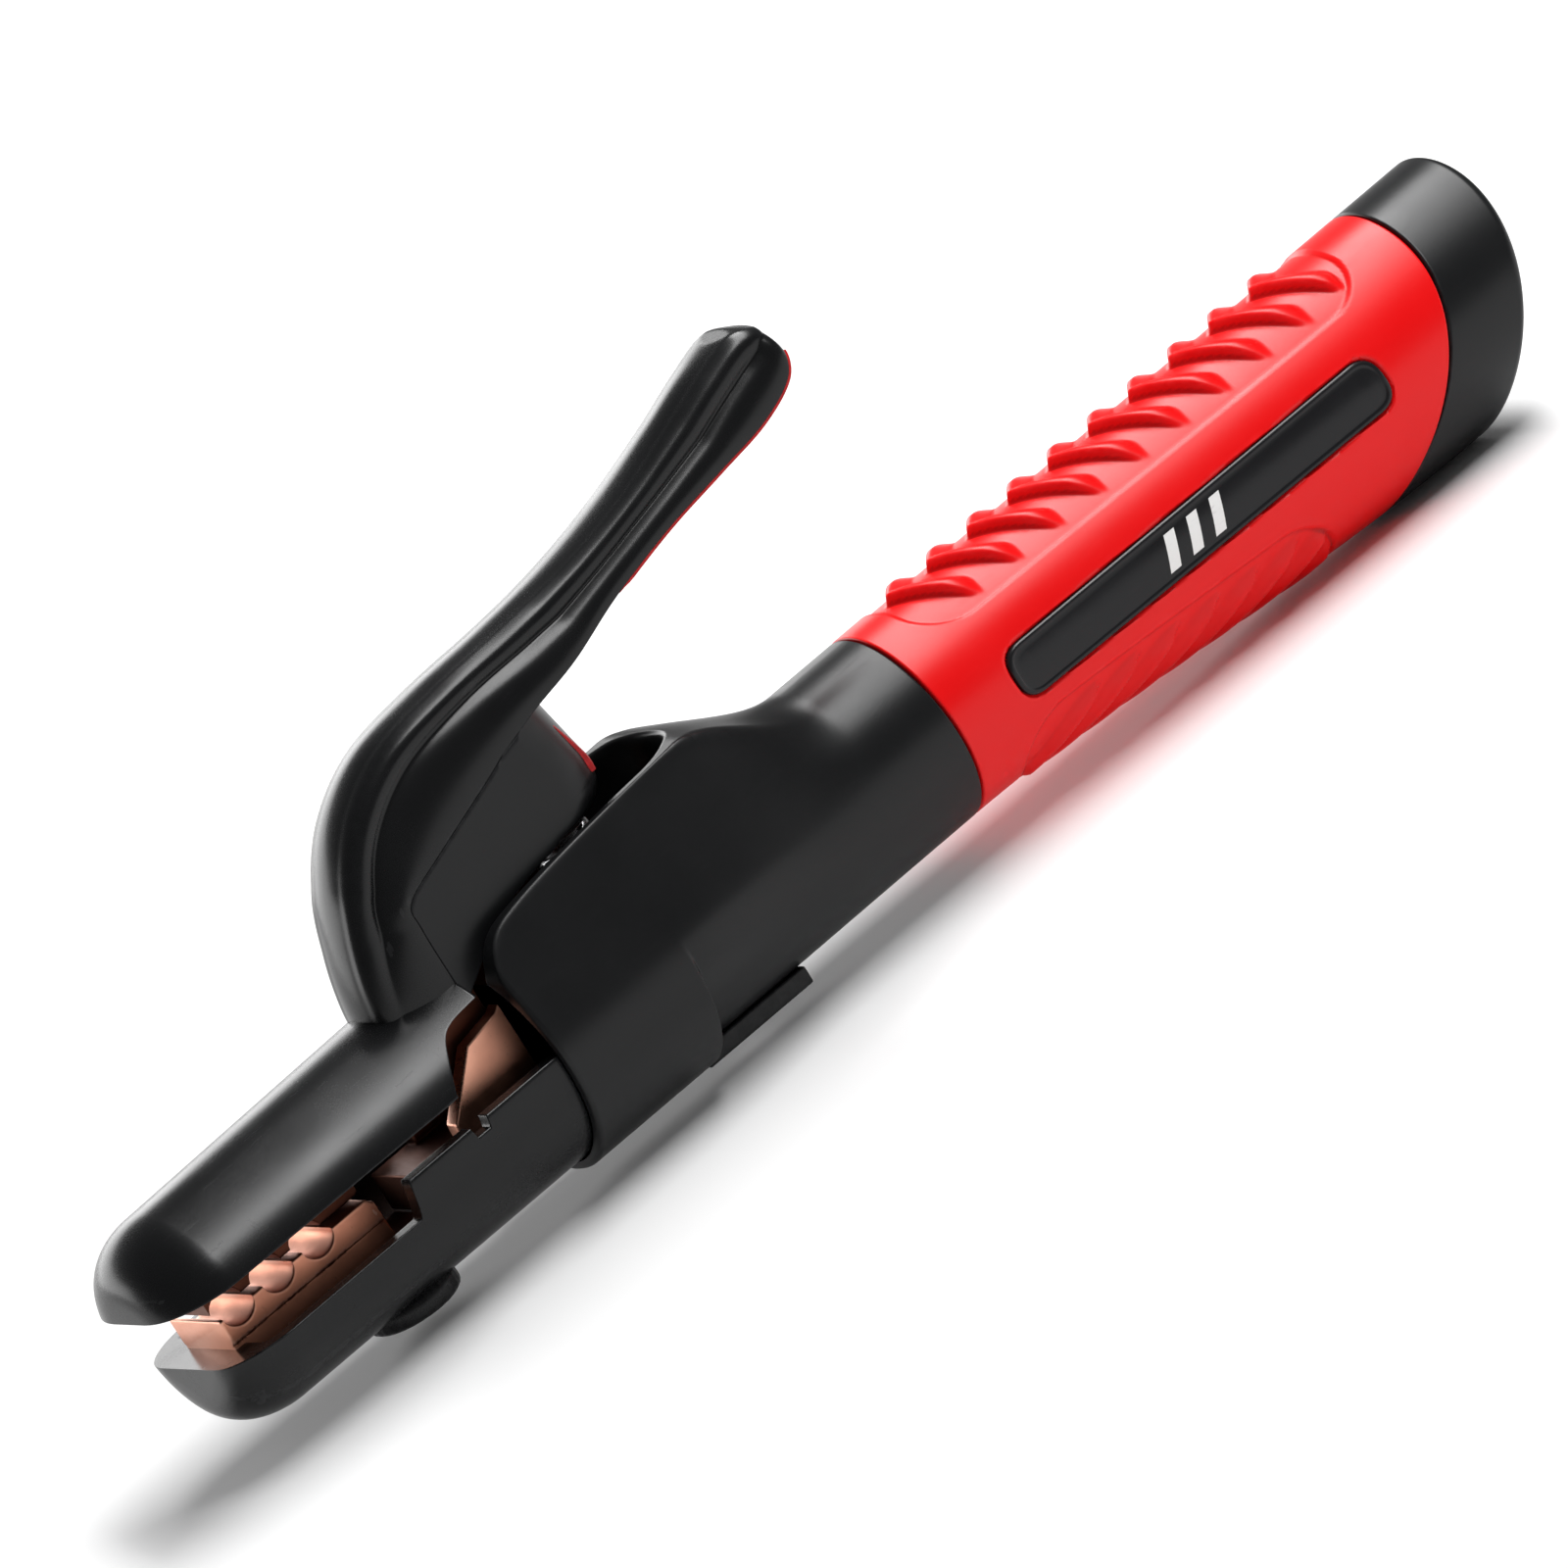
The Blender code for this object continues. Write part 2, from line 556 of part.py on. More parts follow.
def lever_web(shade, parent):
    """Block that carries the lever down into the throat, its back edge a round nose."""
    bm = bmesh.new()
    layers = []
    for k in range(13):
        y = -WEB_HALF_WIDTH * math.cos(math.pi * k / 12)
        layers.append([bm.verts.new(Vector(point) * MM) for point in web_section(y)])
    count = len(layers[0])
    for near, far in zip(layers, layers[1:]):
        for i in range(count):
            j = (i + 1) % count
            bm.faces.new((near[i], near[j], far[j], far[i]))
    bm.faces.new(layers[0])
    bm.faces.new(layers[-1])
    web = add_object("lever_web", bm, shade, parent)
    pocket = [(-78.5, 10.0), (-78.5, 12.5), (-76.4, 12.5), (-75.9, 23.7), (-74.3, 26.0), (-51.6, 32.5),
              (-51.6, 24.2), (-57.1, 19.7), (-57.1, 10.0)]
    half = ARM_HALF_WIDTH + GAP
    grooves = [prism(strip_outline(3.0, -1.5, GAP), side * (STRIP_Y - 0.5), side * (STRIP_Y + 0.5))
               for side in (-1, 1)]
    cut(web, prism(pocket, -half, half), *grooves)


def spring_parts(metal, parent, moving):
    """Return spring between a seat on the conductor and a post under the lever's web."""
    sides = 6
    per_turn = 12
    steps = SPRING_TURNS * per_turn
    bm = bmesh.new()
    rings = []
    for k in range(steps + 1):
        turn = 2 * math.pi * k / per_turn
        spread = min(max((k / steps - 0.1) / 0.8, 0.0), 1.0)
        coils = 4 * SPRING_WIRE * k / steps
        height = SPRING_Z[0] + coils + (SPRING_Z[1] - SPRING_Z[0] - 4 * SPRING_WIRE) * spread
        ring = []
        for s in range(sides):
            angle = 2 * math.pi * s / sides
            reach = SPRING_RADIUS + SPRING_WIRE * math.cos(angle)
            spot = Vector((SPRING_X + reach * math.cos(turn), reach * math.sin(turn),
                           height + SPRING_WIRE * math.sin(angle)))
            ring.append(bm.verts.new(spot * MM))
        rings.append(ring)
    for near, far in zip(rings, rings[1:]):
        for s in range(sides):
            n = (s + 1) % sides
            bm.faces.new((near[s], near[n], far[n], far[s]))
    bm.faces.new(rings[0])
    bm.faces.new(rings[-1])
    add_object("return_spring", bm, metal, parent)
    seat = turned([(-1.9, 0), (-1.9, 5.2), (-1.2, 5.2), (-1.2, 2.9), (1.0, 2.9), (1.0, 0)],
                  (SPRING_X, 0, 0), "Z", 20)
    add_object("spring_seat", seat, metal, parent)
    post = rod(16.0, 21.7, 2.6, (SPRING_X, 0, 0), "Z", 20)
    add_object("spring_post", post, metal, moving)


def handle(red, black, gloss, tube_shade, metal, parent):
    """Insulating tube, ribbed grip with its label inserts, and the rear cap."""
    add_object("handle_tube", pipe(*TUBE_X, TUBE_RADIUS, TUBE_BORE, (0, 0, 0), "X", 32), tube_shade, parent)
    steps = 44
    rings = []
    for k in range(steps + 1):
        x = mix(GAP, GRIP_END_X, k / steps)
        rings.append(handle_ring(x, GRIP_SWEEP * (k / steps), ribbed=True))
    grip = add_object("grip_sleeve", loft(rings), red, parent)
    slot = label_outline(GAP)
    bore = rod(-5, 100, TUBE_RADIUS + GAP, (0, 0, 0), "X", 32)
    cut(grip, bore, prism(slot, 13.4, 25), prism(slot, -25, -13.4))
    for name, side in (("left", 1), ("right", -1)):
        near, far = sorted((side * 13.7, side * 25))
        insert = prism(label_outline(0), near, far)
        piece = add_object(f"label_insert_{name}", insert, gloss, parent)
        keep_inside_handle(piece)
    tail = []
    for k in range(6):
        share = k / 5
        x = mix(GRIP_END_X + GAP, TAIL_END_X, share)
        tail.append(handle_ring(x, mix(GRIP_SWEEP, TAIL_SWEEP, share),
                                mix(GRIP_SWEEP_POWER, TAIL_SWEEP_POWER, share)))
    cap = add_object("rear_cap", loft(tail), black, parent)
    inlet = rod(60, 120, INLET_RADIUS, (0, 0, TAIL_CENTRE_Z), "X", 32)
    hole = [(-25, 0), (-25, 3.0), (-17.4, 3.0), (-17.4, 1.9), (-8, 1.9), (-8, 0)]
    screw_hole = turned(hole, (TAIL_SCREW_X, 0, 0), "Z", 20)
    cut(cap, rod(60, TUBE_X[1] + GAP, TUBE_RADIUS + GAP, (0, 0, 0), "X", 32), inlet, screw_hole)
    profile = [(-19.4, 0), (-19.4, 2.6), (-17.7, 2.6), (-17.7, 1.6), (-12.2, 1.6), (-12.2, 0)]
    screw = turned(profile, (TAIL_SCREW_X, 0, 0), "Z", 20)
    add_object("handle_screw", screw, metal, parent)


def label_outline(grow):
    """Slot with round ends on the side of the grip."""
    half = 3.9 + grow
    front = arc((15.0, 0.0), half, 270, 90, 8)
    back = arc((76.0, 0.0), half, 90, -90, 8)
    return front + back


def keep_inside_handle(piece):
    """Trim a label insert to the round of the grip with a hidden intersecting body."""
    body = loft([handle_ring(x, extra=0.15) for x in (5, 20, 35, 50, 65, 80, 85)])
    limit = add_object(f"{piece.name}_limit", body, piece.data.materials[0], piece.parent)
    limit.hide_render = True
    limit.display_type = "WIRE"
    boolean = piece.modifiers.new("trim", "BOOLEAN")
    boolean.operation = "INTERSECT"
    boolean.object = limit


def cable_end(brass, metal, parent):
    """Socket for the cable with two clamp screws and the plate that they press."""
    front, rear = SOCKET_X
    profile = [(front, 0), (front, SOCKET_RADIUS), (rear, SOCKET_RADIUS), (rear, SOCKET_BORE),
               (front + 5, SOCKET_BORE), (front + 5, 0)]
    socket = add_object("cable_socket", turned(profile, (0, 0, 0), "X", 32), brass, parent)
    cut(socket, *[rod(-12, -4, 2.5, (x, 0, 0), "Z", 16) for x in CLAMP_SCREW_X])
    for name, x in zip(("front", "rear"), CLAMP_SCREW_X):
        add_object(f"cable_clamp_screw_{name}", rod(-8.0, -4.6, 2.2, (x, 0, 0), "Z", 16), metal, parent)
    outline = [(18.0, -2.6), (40.0, -2.6), (40.0, 2.6), (18.0, 2.6)]
    add_object("cable_clamp_plate", prism(outline, -4.3, -3.3, "Z"), metal, parent)


def empty(name, place, parent=None):
    """Empty that carries other objects."""
    holder = bpy.data.objects.new(name, None)
    bpy.context.collection.objects.link(holder)
    holder.location = Vector(place) * MM
    holder.parent = parent
    return holder


def main():
    """Build the whole holder, origin under the middle of its box."""
    for old in list(bpy.data.objects):
        bpy.data.objects.remove(old, do_unlink=True)
    fixed = empty("holder_frame", (-MIDDLE_X, 0, -BASE_Z))
    moving = empty("lever_pivot", (PIVOT[0], 0, PIVOT[1]), fixed)
    fixed_pieces = empty("fixed_pieces", (0, 0, 0), fixed)
    copper = material("copper", (0.52, 0.21, 0.13), 0.34, 1.0)
    gloss = material("gloss_black", (0.012, 0.012, 0.013), 0.22, 0.0)
    matte = material("matte_black", (0.02, 0.02, 0.021), 0.5, 0.0)
    red = material("grip_red", (0.79, 0.004, 0.004), 0.42, 0.0)
    liner_red = material("liner_red", (0.5, 0.003, 0.005), 0.4, 0.0)
    steel = material("bright_steel", (0.62, 0.62, 0.63), 0.25, 1.0)
    brass = material("brass", (0.7, 0.5, 0.2), 0.35, 1.0)
    nylon = material("nylon", (0.75, 0.72, 0.62), 0.5, 0.0)
    fibre = material("fibre_tube", (0.1, 0.05, 0.03), 0.7, 0.0)

    lower_jaw(copper, fixed_pieces)
    conductor(copper, fixed_pieces)
    lower_insulator(gloss, fixed_pieces)
    lower_button(gloss, steel, fixed_pieces)
    sleeve(matte, fixed_pieces)
    lock_plate(matte, steel, fixed_pieces)
    cable_end(brass, steel, fixed_pieces)
    handle(red, matte, gloss, fibre, steel, fixed_pieces)
    pivot(steel, brass, nylon, fixed_pieces, moving)
    spring_parts(steel, fixed_pieces, moving)
    upper_jaw(copper, moving)
    upper_arm(copper, steel, moving)
    upper_insulator(gloss, moving)
    lever_web(matte, moving)
    lever_cover(gloss, moving)
    lever_liners(liner_red, moving)


main()
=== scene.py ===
"""Looks of the electrode holder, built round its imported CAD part.

Each operator makes one piece, or a few like pieces, from surfaces worked out in
millimetres. x runs along the handle from the seam between sleeve and grip towards the
cable, y is sideways, z is height above the handle's axis.
"""

import math
from contextlib import contextmanager

import bmesh
import bpy
import numpy as np
from bpy.props import FloatProperty, FloatVectorProperty, PointerProperty
from mathutils import Matrix, Vector


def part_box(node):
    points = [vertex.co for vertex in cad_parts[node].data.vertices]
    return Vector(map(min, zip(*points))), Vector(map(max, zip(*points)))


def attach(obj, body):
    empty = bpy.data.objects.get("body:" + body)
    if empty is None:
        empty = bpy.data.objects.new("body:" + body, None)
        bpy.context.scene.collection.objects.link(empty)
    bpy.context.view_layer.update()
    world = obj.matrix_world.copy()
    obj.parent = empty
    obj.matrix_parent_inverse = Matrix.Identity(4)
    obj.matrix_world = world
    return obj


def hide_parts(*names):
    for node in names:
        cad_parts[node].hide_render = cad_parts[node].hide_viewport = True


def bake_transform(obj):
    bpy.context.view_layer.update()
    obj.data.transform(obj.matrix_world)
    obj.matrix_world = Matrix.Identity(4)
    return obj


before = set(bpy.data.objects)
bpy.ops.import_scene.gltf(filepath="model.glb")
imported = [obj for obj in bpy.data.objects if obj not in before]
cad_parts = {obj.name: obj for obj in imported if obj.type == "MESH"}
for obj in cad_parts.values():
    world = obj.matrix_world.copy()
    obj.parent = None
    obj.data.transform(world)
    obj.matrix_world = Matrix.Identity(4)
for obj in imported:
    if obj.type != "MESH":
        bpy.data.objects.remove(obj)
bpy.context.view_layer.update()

bl_info = {
    "name": "Electrode holder",
    "version": (1, 0, 0),
    "blender": (4, 5, 0),
    "location": "3D View > Sidebar > Holder",
    "description": "Builds the visible pieces and finishes of a stick welding electrode holder",
    "category": "Object",
}

MM = 0.001
PIVOT = np.array((-66.0, 0.0, 7.0))
HOME = np.mean([np.array(corner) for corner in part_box("pivot_pin")], axis=0) - PIVOT * MM

TOP_Z = 15.0
SEAM_RADIUS = 14.95
TAIL_RADIUS = 17.6
GRIP_X = (0.3, 96.0)
GRIP_SWEEP = (23.0, 2.0)
TAIL_X = (96.3, 110.0)
TAIL_SWEEP = (16.0, 1.6)
BORE_RADIUS = 12.1
INLET_RADIUS = 7.0
LABEL_X = (15.0, 76.0)
LABEL_HALF = 3.9
LABEL_MIDDLE = 44.5
LABEL_POWER = 2.8
UPPER_PANEL = (46.9, 41.1, 13.7, 8.0)
LOWER_PANEL = (36.0, 28.0, 18.8, 9.0)
END_ROUNDING = 0.35

SLEEVE_FRONT_X = -75.0
SLEEVE_RADIUS = 17.7
STEP_X = -52.0
STEP_RADIUS = 15.1
SLEEVE_BORE = 16.3
SLEEVE_BORE_END_X = -64.0
COLLAR = (11.0, 23.0)
CORNER_TURN = 0.8 * math.pi
LEVEL_X = -34.0
THROAT_HALF = 9.3
THROAT_CENTRE_X = -40.3
THROAT_END_X = THROAT_CENTRE_X + THROAT_HALF
SLEEVE_EDGE = [(-75.3, 12.5), (-74.6, 15.0), (-73.2, 17.4), (-71.0, 19.2), (-67.5, 20.2),
               (-60.0, 21.2), (-48.0, 22.2), (-34.0, 23.0)]

TROUGH_X = (-137.5, -64.5)
TROUGH_EDGE_Z = -3.6
TROUGH_BORE = 13.4
CAP_X = (-141.0, -78.0)
CAP_EDGE_Z = 6.4
CAP_BORE = 15.0
JAW_X = (-133.0, -105.0)
JAW_HALF = 7.3
TOOTH_MIDDLES = -129.4 + 7.4 * np.arange(3)

LEVER_BACK = [(-89.3, 13.2), (-89.0, 19.0), (-87.0, 26.5), (-83.2, 34.8), (-77.0, 42.0), (-68.0, 46.7),
              (-56.0, 48.3), (-43.0, 48.8), (-30.0, 49.8), (-18.0, 52.0), (-7.0, 55.2), (1.5, 58.0),
              (8.0, 59.6), (12.0, 58.2)]
LEVER_INNER = [(-78.0, 13.2), (-78.0, 19.0), (-77.8, 25.0), (-77.0, 28.6), (-70.0, 31.2), (-60.0, 34.3),
               (-48.5, 37.8), (-38.0, 39.8), (-28.0, 42.6), (-16.0, 45.2), (-5.0, 46.7), (4.0, 48.0),
               (10.5, 50.6), (12.8, 54.6)]
LEVER_TOP_Z = 59.55
WEB_HALF = 8.5
STRIP_Y = 5.6
SPRING_X = -50.5
BUTTON_X = -105.0

CREASE = 38.0
DOUBLES = 1e-6
VIEW_WIDTH = 0.2097
SENSOR_WIDTH = 36.0
SIDES = (("left", 1), ("right", -1))


# Shapes

def mix(start, end, share):
    """Straight line from start to end: start plus share times the difference."""
    return start + (end - start) * share


def smooth(share):
    """Ease from 0 to 1: three times the square less twice the cube."""
    share = np.clip(share, 0.0, 1.0)
    return share * share * (3 - 2 * share)


def fillet(distance, radius):
    """Drop of a rounded edge: a quarter circle, full at the edge and none a radius away."""
    near = np.clip(1 - distance / radius, 0.0, 1.0)
    return radius * (1 - np.sqrt(1 - near ** 2))


def row(count):
    """Even shares from 0 to 1, in one row."""
    return np.linspace(0, 1, count)[None]


def beside(*parts):
    """Grids with the same rows, side by side."""
    return np.concatenate(parts, axis=1)


def placed(x, y, z):
    """Points of a grid from its coordinates."""
    return np.stack((np.broadcast_to(x, y.shape), y, z), axis=-1)


def leg(longest, other):
    """Third side of a right triangle, and none where it can't close."""
    return np.sqrt(np.clip(longest ** 2 - other ** 2, 0, None))


def around(count):
    """Angles evenly spaced round a full turn."""
    return np.linspace(0, 2 * math.pi, count, endpoint=False)


def stations(first, last, step, *close):
    """Places a step apart, with closer ones round each (middle, reach, closer step)."""
    places = [np.linspace(first, last, int(abs(last - first) / step) + 2)]
    for middle, reach, fine in close:
        places.append(np.arange(max(first, middle - reach), min(last, middle + reach), fine))
    places = np.unique(np.concatenate(places))
    kept = np.append(np.diff(places) > 0.03, True)
    kept[0] = True
    return places[kept]


def through(points, steps):
    """Catmull-Rom curve through points: each stretch is a cubic in its share t."""
    points = np.array(points, float)
    padded = np.concatenate((points[:1], points, points[-1:]))
    before, near, far, after = (padded[k:len(padded) - 3 + k, None] for k in range(4))
    t = np.linspace(0, 1, steps, endpoint=False)[None, :, None]
    curve = (2 * near + (far - before) * t + (2 * before - 5 * near + 4 * far - after) * t ** 2
             + (3 * near - before - 3 * far + after) * t ** 3) / 2
    return np.concatenate((curve.reshape(-1, points.shape[1]), points[-1:]))


def spots(line, share):
    """Coordinates of a line's points at a share of their count."""
    index = np.linspace(0, 1, len(line))
    return [np.interp(share, index, values) for values in line.T]


def eased(points, passes):
    """Round the corners along each row: every inner point moves to a quarter, half, quarter mean."""
    for _ in range(passes):
        points[:, 1:-1] = (points[:, :-2] + 2 * points[:, 1:-1] + points[:, 2:]) / 4
    return points


def sheet(points, ring=False, loop=False):
    """Points on a grid and the quads between them; ring joins the columns, loop joins the rows."""
    rows, columns = points.shape[:2]
    index = np.arange(rows * columns).reshape(rows, columns)
    if ring:
        index = np.concatenate((index, index[:, :1]), axis=1)
    if loop:
        index = np.concatenate((index, index[:1]), axis=0)
    quads = np.stack((index[:-1, :-1], index[:-1, 1:], index[1:, 1:], index[1:, :-1]), axis=-1)
    return points.reshape(-1, 3), quads.reshape(-1, 4)


def both_sides(*grids):
    """Sheets of grids made for one side, and of their mirror images."""
    return [sheet(grid * np.array((1.0, side, 1.0))) for grid in grids for side in (1.0, -1.0)]


def block(shape, counts):
    """The six faces of a solid whose points are a function of three shares between 0 and 1."""
    spans = [np.linspace(0, 1, count) for count in counts]
    sheets = []
    for still in range(3):
        first, second = (k for k in range(3) if k != still)
        for end in (0.0, 1.0):
            shares = [None] * 3
            shares[first], shares[second] = np.meshgrid(spans[first], spans[second], indexing="ij")
            shares[still] = np.full(shares[first].shape, end)
            sheets.append(sheet(shape(*shares)))
    return sheets


def lathe(profile, centre, axis, sides=48):
    """A profile of (place along the axis, radius) turned about an axis through the centre."""
    profile = np.array(profile, float)
    turn = around(sides)
    along = np.broadcast_to(profile[:, :1], (len(profile), sides))
    first = profile[:, 1:] * np.cos(turn)
    second = profile[:, 1:] * np.sin(turn)
    order = {"X": (along, first, second), "Y": (first, along, second), "Z": (first, second, along)}[axis]
    return np.stack(order, axis=-1) + np.array(centre, float)


def piece(name, body, slot, sheets, stands_for=(), crease=CREASE):
    """Join sheets into one closed mesh, with a flat face over each open end, and make it a piece."""
    counts = np.cumsum([0] + [len(points) for points, _ in sheets])
    points = np.concatenate([points for points, _ in sheets]) * MM + HOME
    quads = np.concatenate([quads + start for (_, quads), start in zip(sheets, counts)])
    mesh = bpy.data.meshes.new(name)
    mesh.from_pydata(points.tolist(), [], quads.tolist())
    return settled(name, mesh, body, slot, stands_for, crease)


@contextmanager
def worked(mesh, merge):
    """Open a mesh with its doubles merged, and write the work back at the end of the block."""
    work = bmesh.new()
    work.from_mesh(mesh)
    bmesh.ops.remove_doubles(work, verts=work.verts, dist=merge)
    yield work
    work.to_mesh(mesh)
    work.free()


def settled(name, mesh, body, slot, stands_for, crease=CREASE, merge=0.002):
    with worked(mesh, merge * MM) as work:
        bmesh.ops.dissolve_degenerate(work, dist=merge * MM * 0.5, edges=work.edges)
        bmesh.ops.holes_fill(work, edges=[edge for edge in work.edges if edge.is_boundary], sides=0)
        bmesh.ops.recalc_face_normals(work, faces=work.faces)
        if work.calc_volume(signed=True) < 0:
            bmesh.ops.reverse_faces(work, faces=work.faces)
    mesh.shade_smooth()
    mesh.set_sharp_from_angle(angle=math.radians(crease))
    mesh.materials.clear()
    mesh.materials.append(finish(slot))
    thing = bpy.data.objects.new(name, mesh)
    bpy.context.collection.objects.link(thing)
    if body:
        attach(thing, body)
    if stands_for:
        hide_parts(*stands_for)
    return thing


def drilled(thing, points, quads):
    """Take a solid out of a finished piece and shade the cut."""
    mesh = bpy.data.meshes.new("drill")
    mesh.from_pydata((points * MM + HOME).tolist(), [], quads.tolist())
    with worked(mesh, DOUBLES) as work:
        bmesh.ops.recalc_face_normals(work, faces=work.faces)
    drill = bpy.data.objects.new("drill", mesh)
    bpy.context.collection.objects.link(drill)
    cut = thing.modifiers.new("cut", "BOOLEAN")
    cut.operation = "DIFFERENCE"
    cut.solver = "EXACT"
    cut.object = drill
    bpy.context.view_layer.update()
    whole = thing.evaluated_get(bpy.context.evaluated_depsgraph_get())
    result = bpy.data.meshes.new_from_object(whole)
    thing.modifiers.clear()
    bpy.data.objects.remove(drill)
    if not result.polygons:
        raise RuntimeError(f"{thing.name} vanished when it was drilled")
    thing.data = result
    thing.data.shade_smooth()
    thing.data.set_sharp_from_angle(angle=math.radians(CREASE))


def softened(node, body, slot, edge):
    """A merged copy of a plain CAD node with its edges bevelled, standing for the node."""
    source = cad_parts[node]
    mesh = source.data.copy()
    mesh.transform(source.matrix_world)
    with worked(mesh, DOUBLES) as work:
        bmesh.ops.dissolve_limit(work, angle_limit=math.radians(1.0), verts=work.verts, edges=work.edges)
    thing = settled(f"{node}_soft", mesh, body, slot, (node,), merge=0.001)
    bevel = thing.modifiers.new("edges", "BEVEL")
    bevel.width = edge * MM
    bevel.segments = 3
    bevel.limit_method = "ANGLE"
    bevel.angle_limit = math.radians(CREASE)
    return thing


# Finishes

class Wire:
    """A value leaving a node; Python arithmetic on it adds Math nodes."""

    def __init__(self, tree, socket):
        self.tree = tree
        self.socket = socket

    def _worked(self, operation, first, second):
        node = self.tree.nodes.new("ShaderNodeMath")
        node.operation = operation
        for slot, item in zip(node.inputs, (first, second)):
            if isinstance(item, Wire):
                self.tree.links.new(item.socket, slot)
            else:
                slot.default_value = item
        return Wire(self.tree, node.outputs[0])

    def __add__(self, other):
        return self._worked("ADD", self, other)

    def __radd__(self, other):
        return self._worked("ADD", other, self)

    def __sub__(self, other):
        return self._worked("SUBTRACT", self, other)

    def __rsub__(self, other):
        return self._worked("SUBTRACT", other, self)

    def __mul__(self, other):
        return self._worked("MULTIPLY", self, other)

    def __rmul__(self, other):
        return self._worked("MULTIPLY", other, self)

    def over(self, limit):
        """1 where the value is above the limit, else 0."""
        return self._worked("GREATER_THAN", self, limit)

    def size(self):
        """The value without its sign."""
        return self._worked("ABSOLUTE", self, 0.0)

    def most(self, other):
        """The larger of two values."""
        return self._worked("MAXIMUM", self, other)


class Finish:
    """A material being wired up round one Principled shader."""

    def __init__(self, name, constants):
        self.material = bpy.data.materials.new(name)
        self.material.use_nodes = True
        self.tree = self.material.node_tree
        self.shader = self.tree.nodes["Principled BSDF"]
        for socket, value in constants.items():
            self.shader.inputs[socket].default_value = value
        place = self.node("ShaderNodeTexCoord", take="Object")
        self.place = self.node("ShaderNodeVectorMath", {"operation": "SCALE"}, {0: place, "Scale": 1 / MM})

    def node(self, kind, settings=None, values=None, take=0):
        """Add a node: its settings first, then the values or links of its sockets."""
        node = self.tree.nodes.new(kind)
        for key, value in (settings or {}).items():
            if key == "stops":
                for stop, (position, level) in zip(node.color_ramp.elements, value):
                    stop.position = position
                    stop.color = (level, level, level, 1.0)
            else:
                setattr(node, key, value)
        for key, value in (values or {}).items():
            if isinstance(value, Wire):
                self.tree.links.new(value.socket, node.inputs[key])
            else:
                node.inputs[key].default_value = value
        return Wire(self.tree, node.outputs[take])

    def along(self, axis):
        """Place along an axis in millimetres, from the point that the surfaces start from."""
        place = self.node("ShaderNodeSeparateXYZ", None, {0: self.place}, axis)
        return place - float(HOME["XYZ".index(axis)] / MM)

    def stretched(self, factors):
        """The place in millimetres, stretched along each axis by a factor."""
        return self.node("ShaderNodeVectorMath", {"operation": "MULTIPLY"}, {0: self.place, 1: factors})

    def noise(self, scale, detail=3.0, place=None, roughness=0.55):
        """Noise with so many lumps per millimetre."""
        values = {"Vector": place or self.place, "Scale": scale, "Detail": detail, "Roughness": roughness}
        return self.node("ShaderNodeTexNoise", None, values, "Fac")

    def ramp(self, value, low, high, start=0.0, end=1.0):
        """From start to end as a value goes from low to high."""
        return self.node("ShaderNodeValToRGB", {"stops": ((low, start), (high, end))}, {"Fac": value})

    def tint(self, share, near, far):
        """Colour between two colours by a share."""
        values = {0: share}
        for key, value in ((6, near), (7, far)):
            values[key] = value if isinstance(value, Wire) else (*value, 1.0)
        return self.node("ShaderNodeMix", {"data_type": "RGBA"}, values, 2)

    def worn(self, low=0.505, high=0.56):
        """Share of wear on the outward edges of a piece."""
        point = self.node("ShaderNodeNewGeometry", take="Pointiness")
        return self.ramp(point, low, high)

    def hollow(self, low=0.46, high=0.495):
        """Share of shade in the inward folds of a piece."""
        point = self.node("ShaderNodeNewGeometry", take="Pointiness")
        return 1 - self.ramp(point, low, high)

    def bumps(self, height, strength, distance=0.05):
        """Normal from a height in millimetres."""
        values = {"Height": height, "Strength": strength, "Distance": distance * MM}
        return self.node("ShaderNodeBump", None, values, "Normal")

    def feed(self, **links):
        """Link values to the shader's sockets, named with underscores for spaces."""
        for key, wire in links.items():
            self.tree.links.new(wire.socket, self.shader.inputs[key.replace("_", " ")])
        return self.material


def moulded(name, colour, light, roughness, grain, sheen=0.5):
    """Moulded plastic: fine grain, cloudy gloss, faint handling marks, paler worn edges and painted shade in
    inward folds.
    """
    made = Finish(name, {"IOR": 1.5, "Specular IOR Level": sheen})
    fine = made.noise(4.5, 2.0)
    cloud = made.noise(0.07, 4.0)
    rubbed = made.ramp(made.noise(0.9, 5.0, made.stretched((0.12, 1.0, 1.0))), 0.60, 0.78)
    wear = made.worn() * made.ramp(made.noise(0.6, 4.0), 0.35, 0.65)
    shade = made.tint(cloud * 0.35 + rubbed * 0.12, colour, light)
    shade = made.tint(wear * 0.35, shade, tuple(min(1.0, 2.2 * part + 0.02) for part in light))
    # Painted shade: inward folds, such as the feet of the ribs, darken towards a third of the colour.
    shade = made.tint(made.hollow() * 0.6, shade, tuple(0.3 * part for part in colour))
    rough = roughness + (fine - 0.5) * 0.10 + (cloud - 0.5) * 0.14 + wear * 0.10 + rubbed * 0.05
    height = fine + made.noise(1.4, 3.0) * 0.6 - rubbed * 0.15
    return made.feed(Base_Color=shade, Roughness=rough, Normal=made.bumps(height, grain))


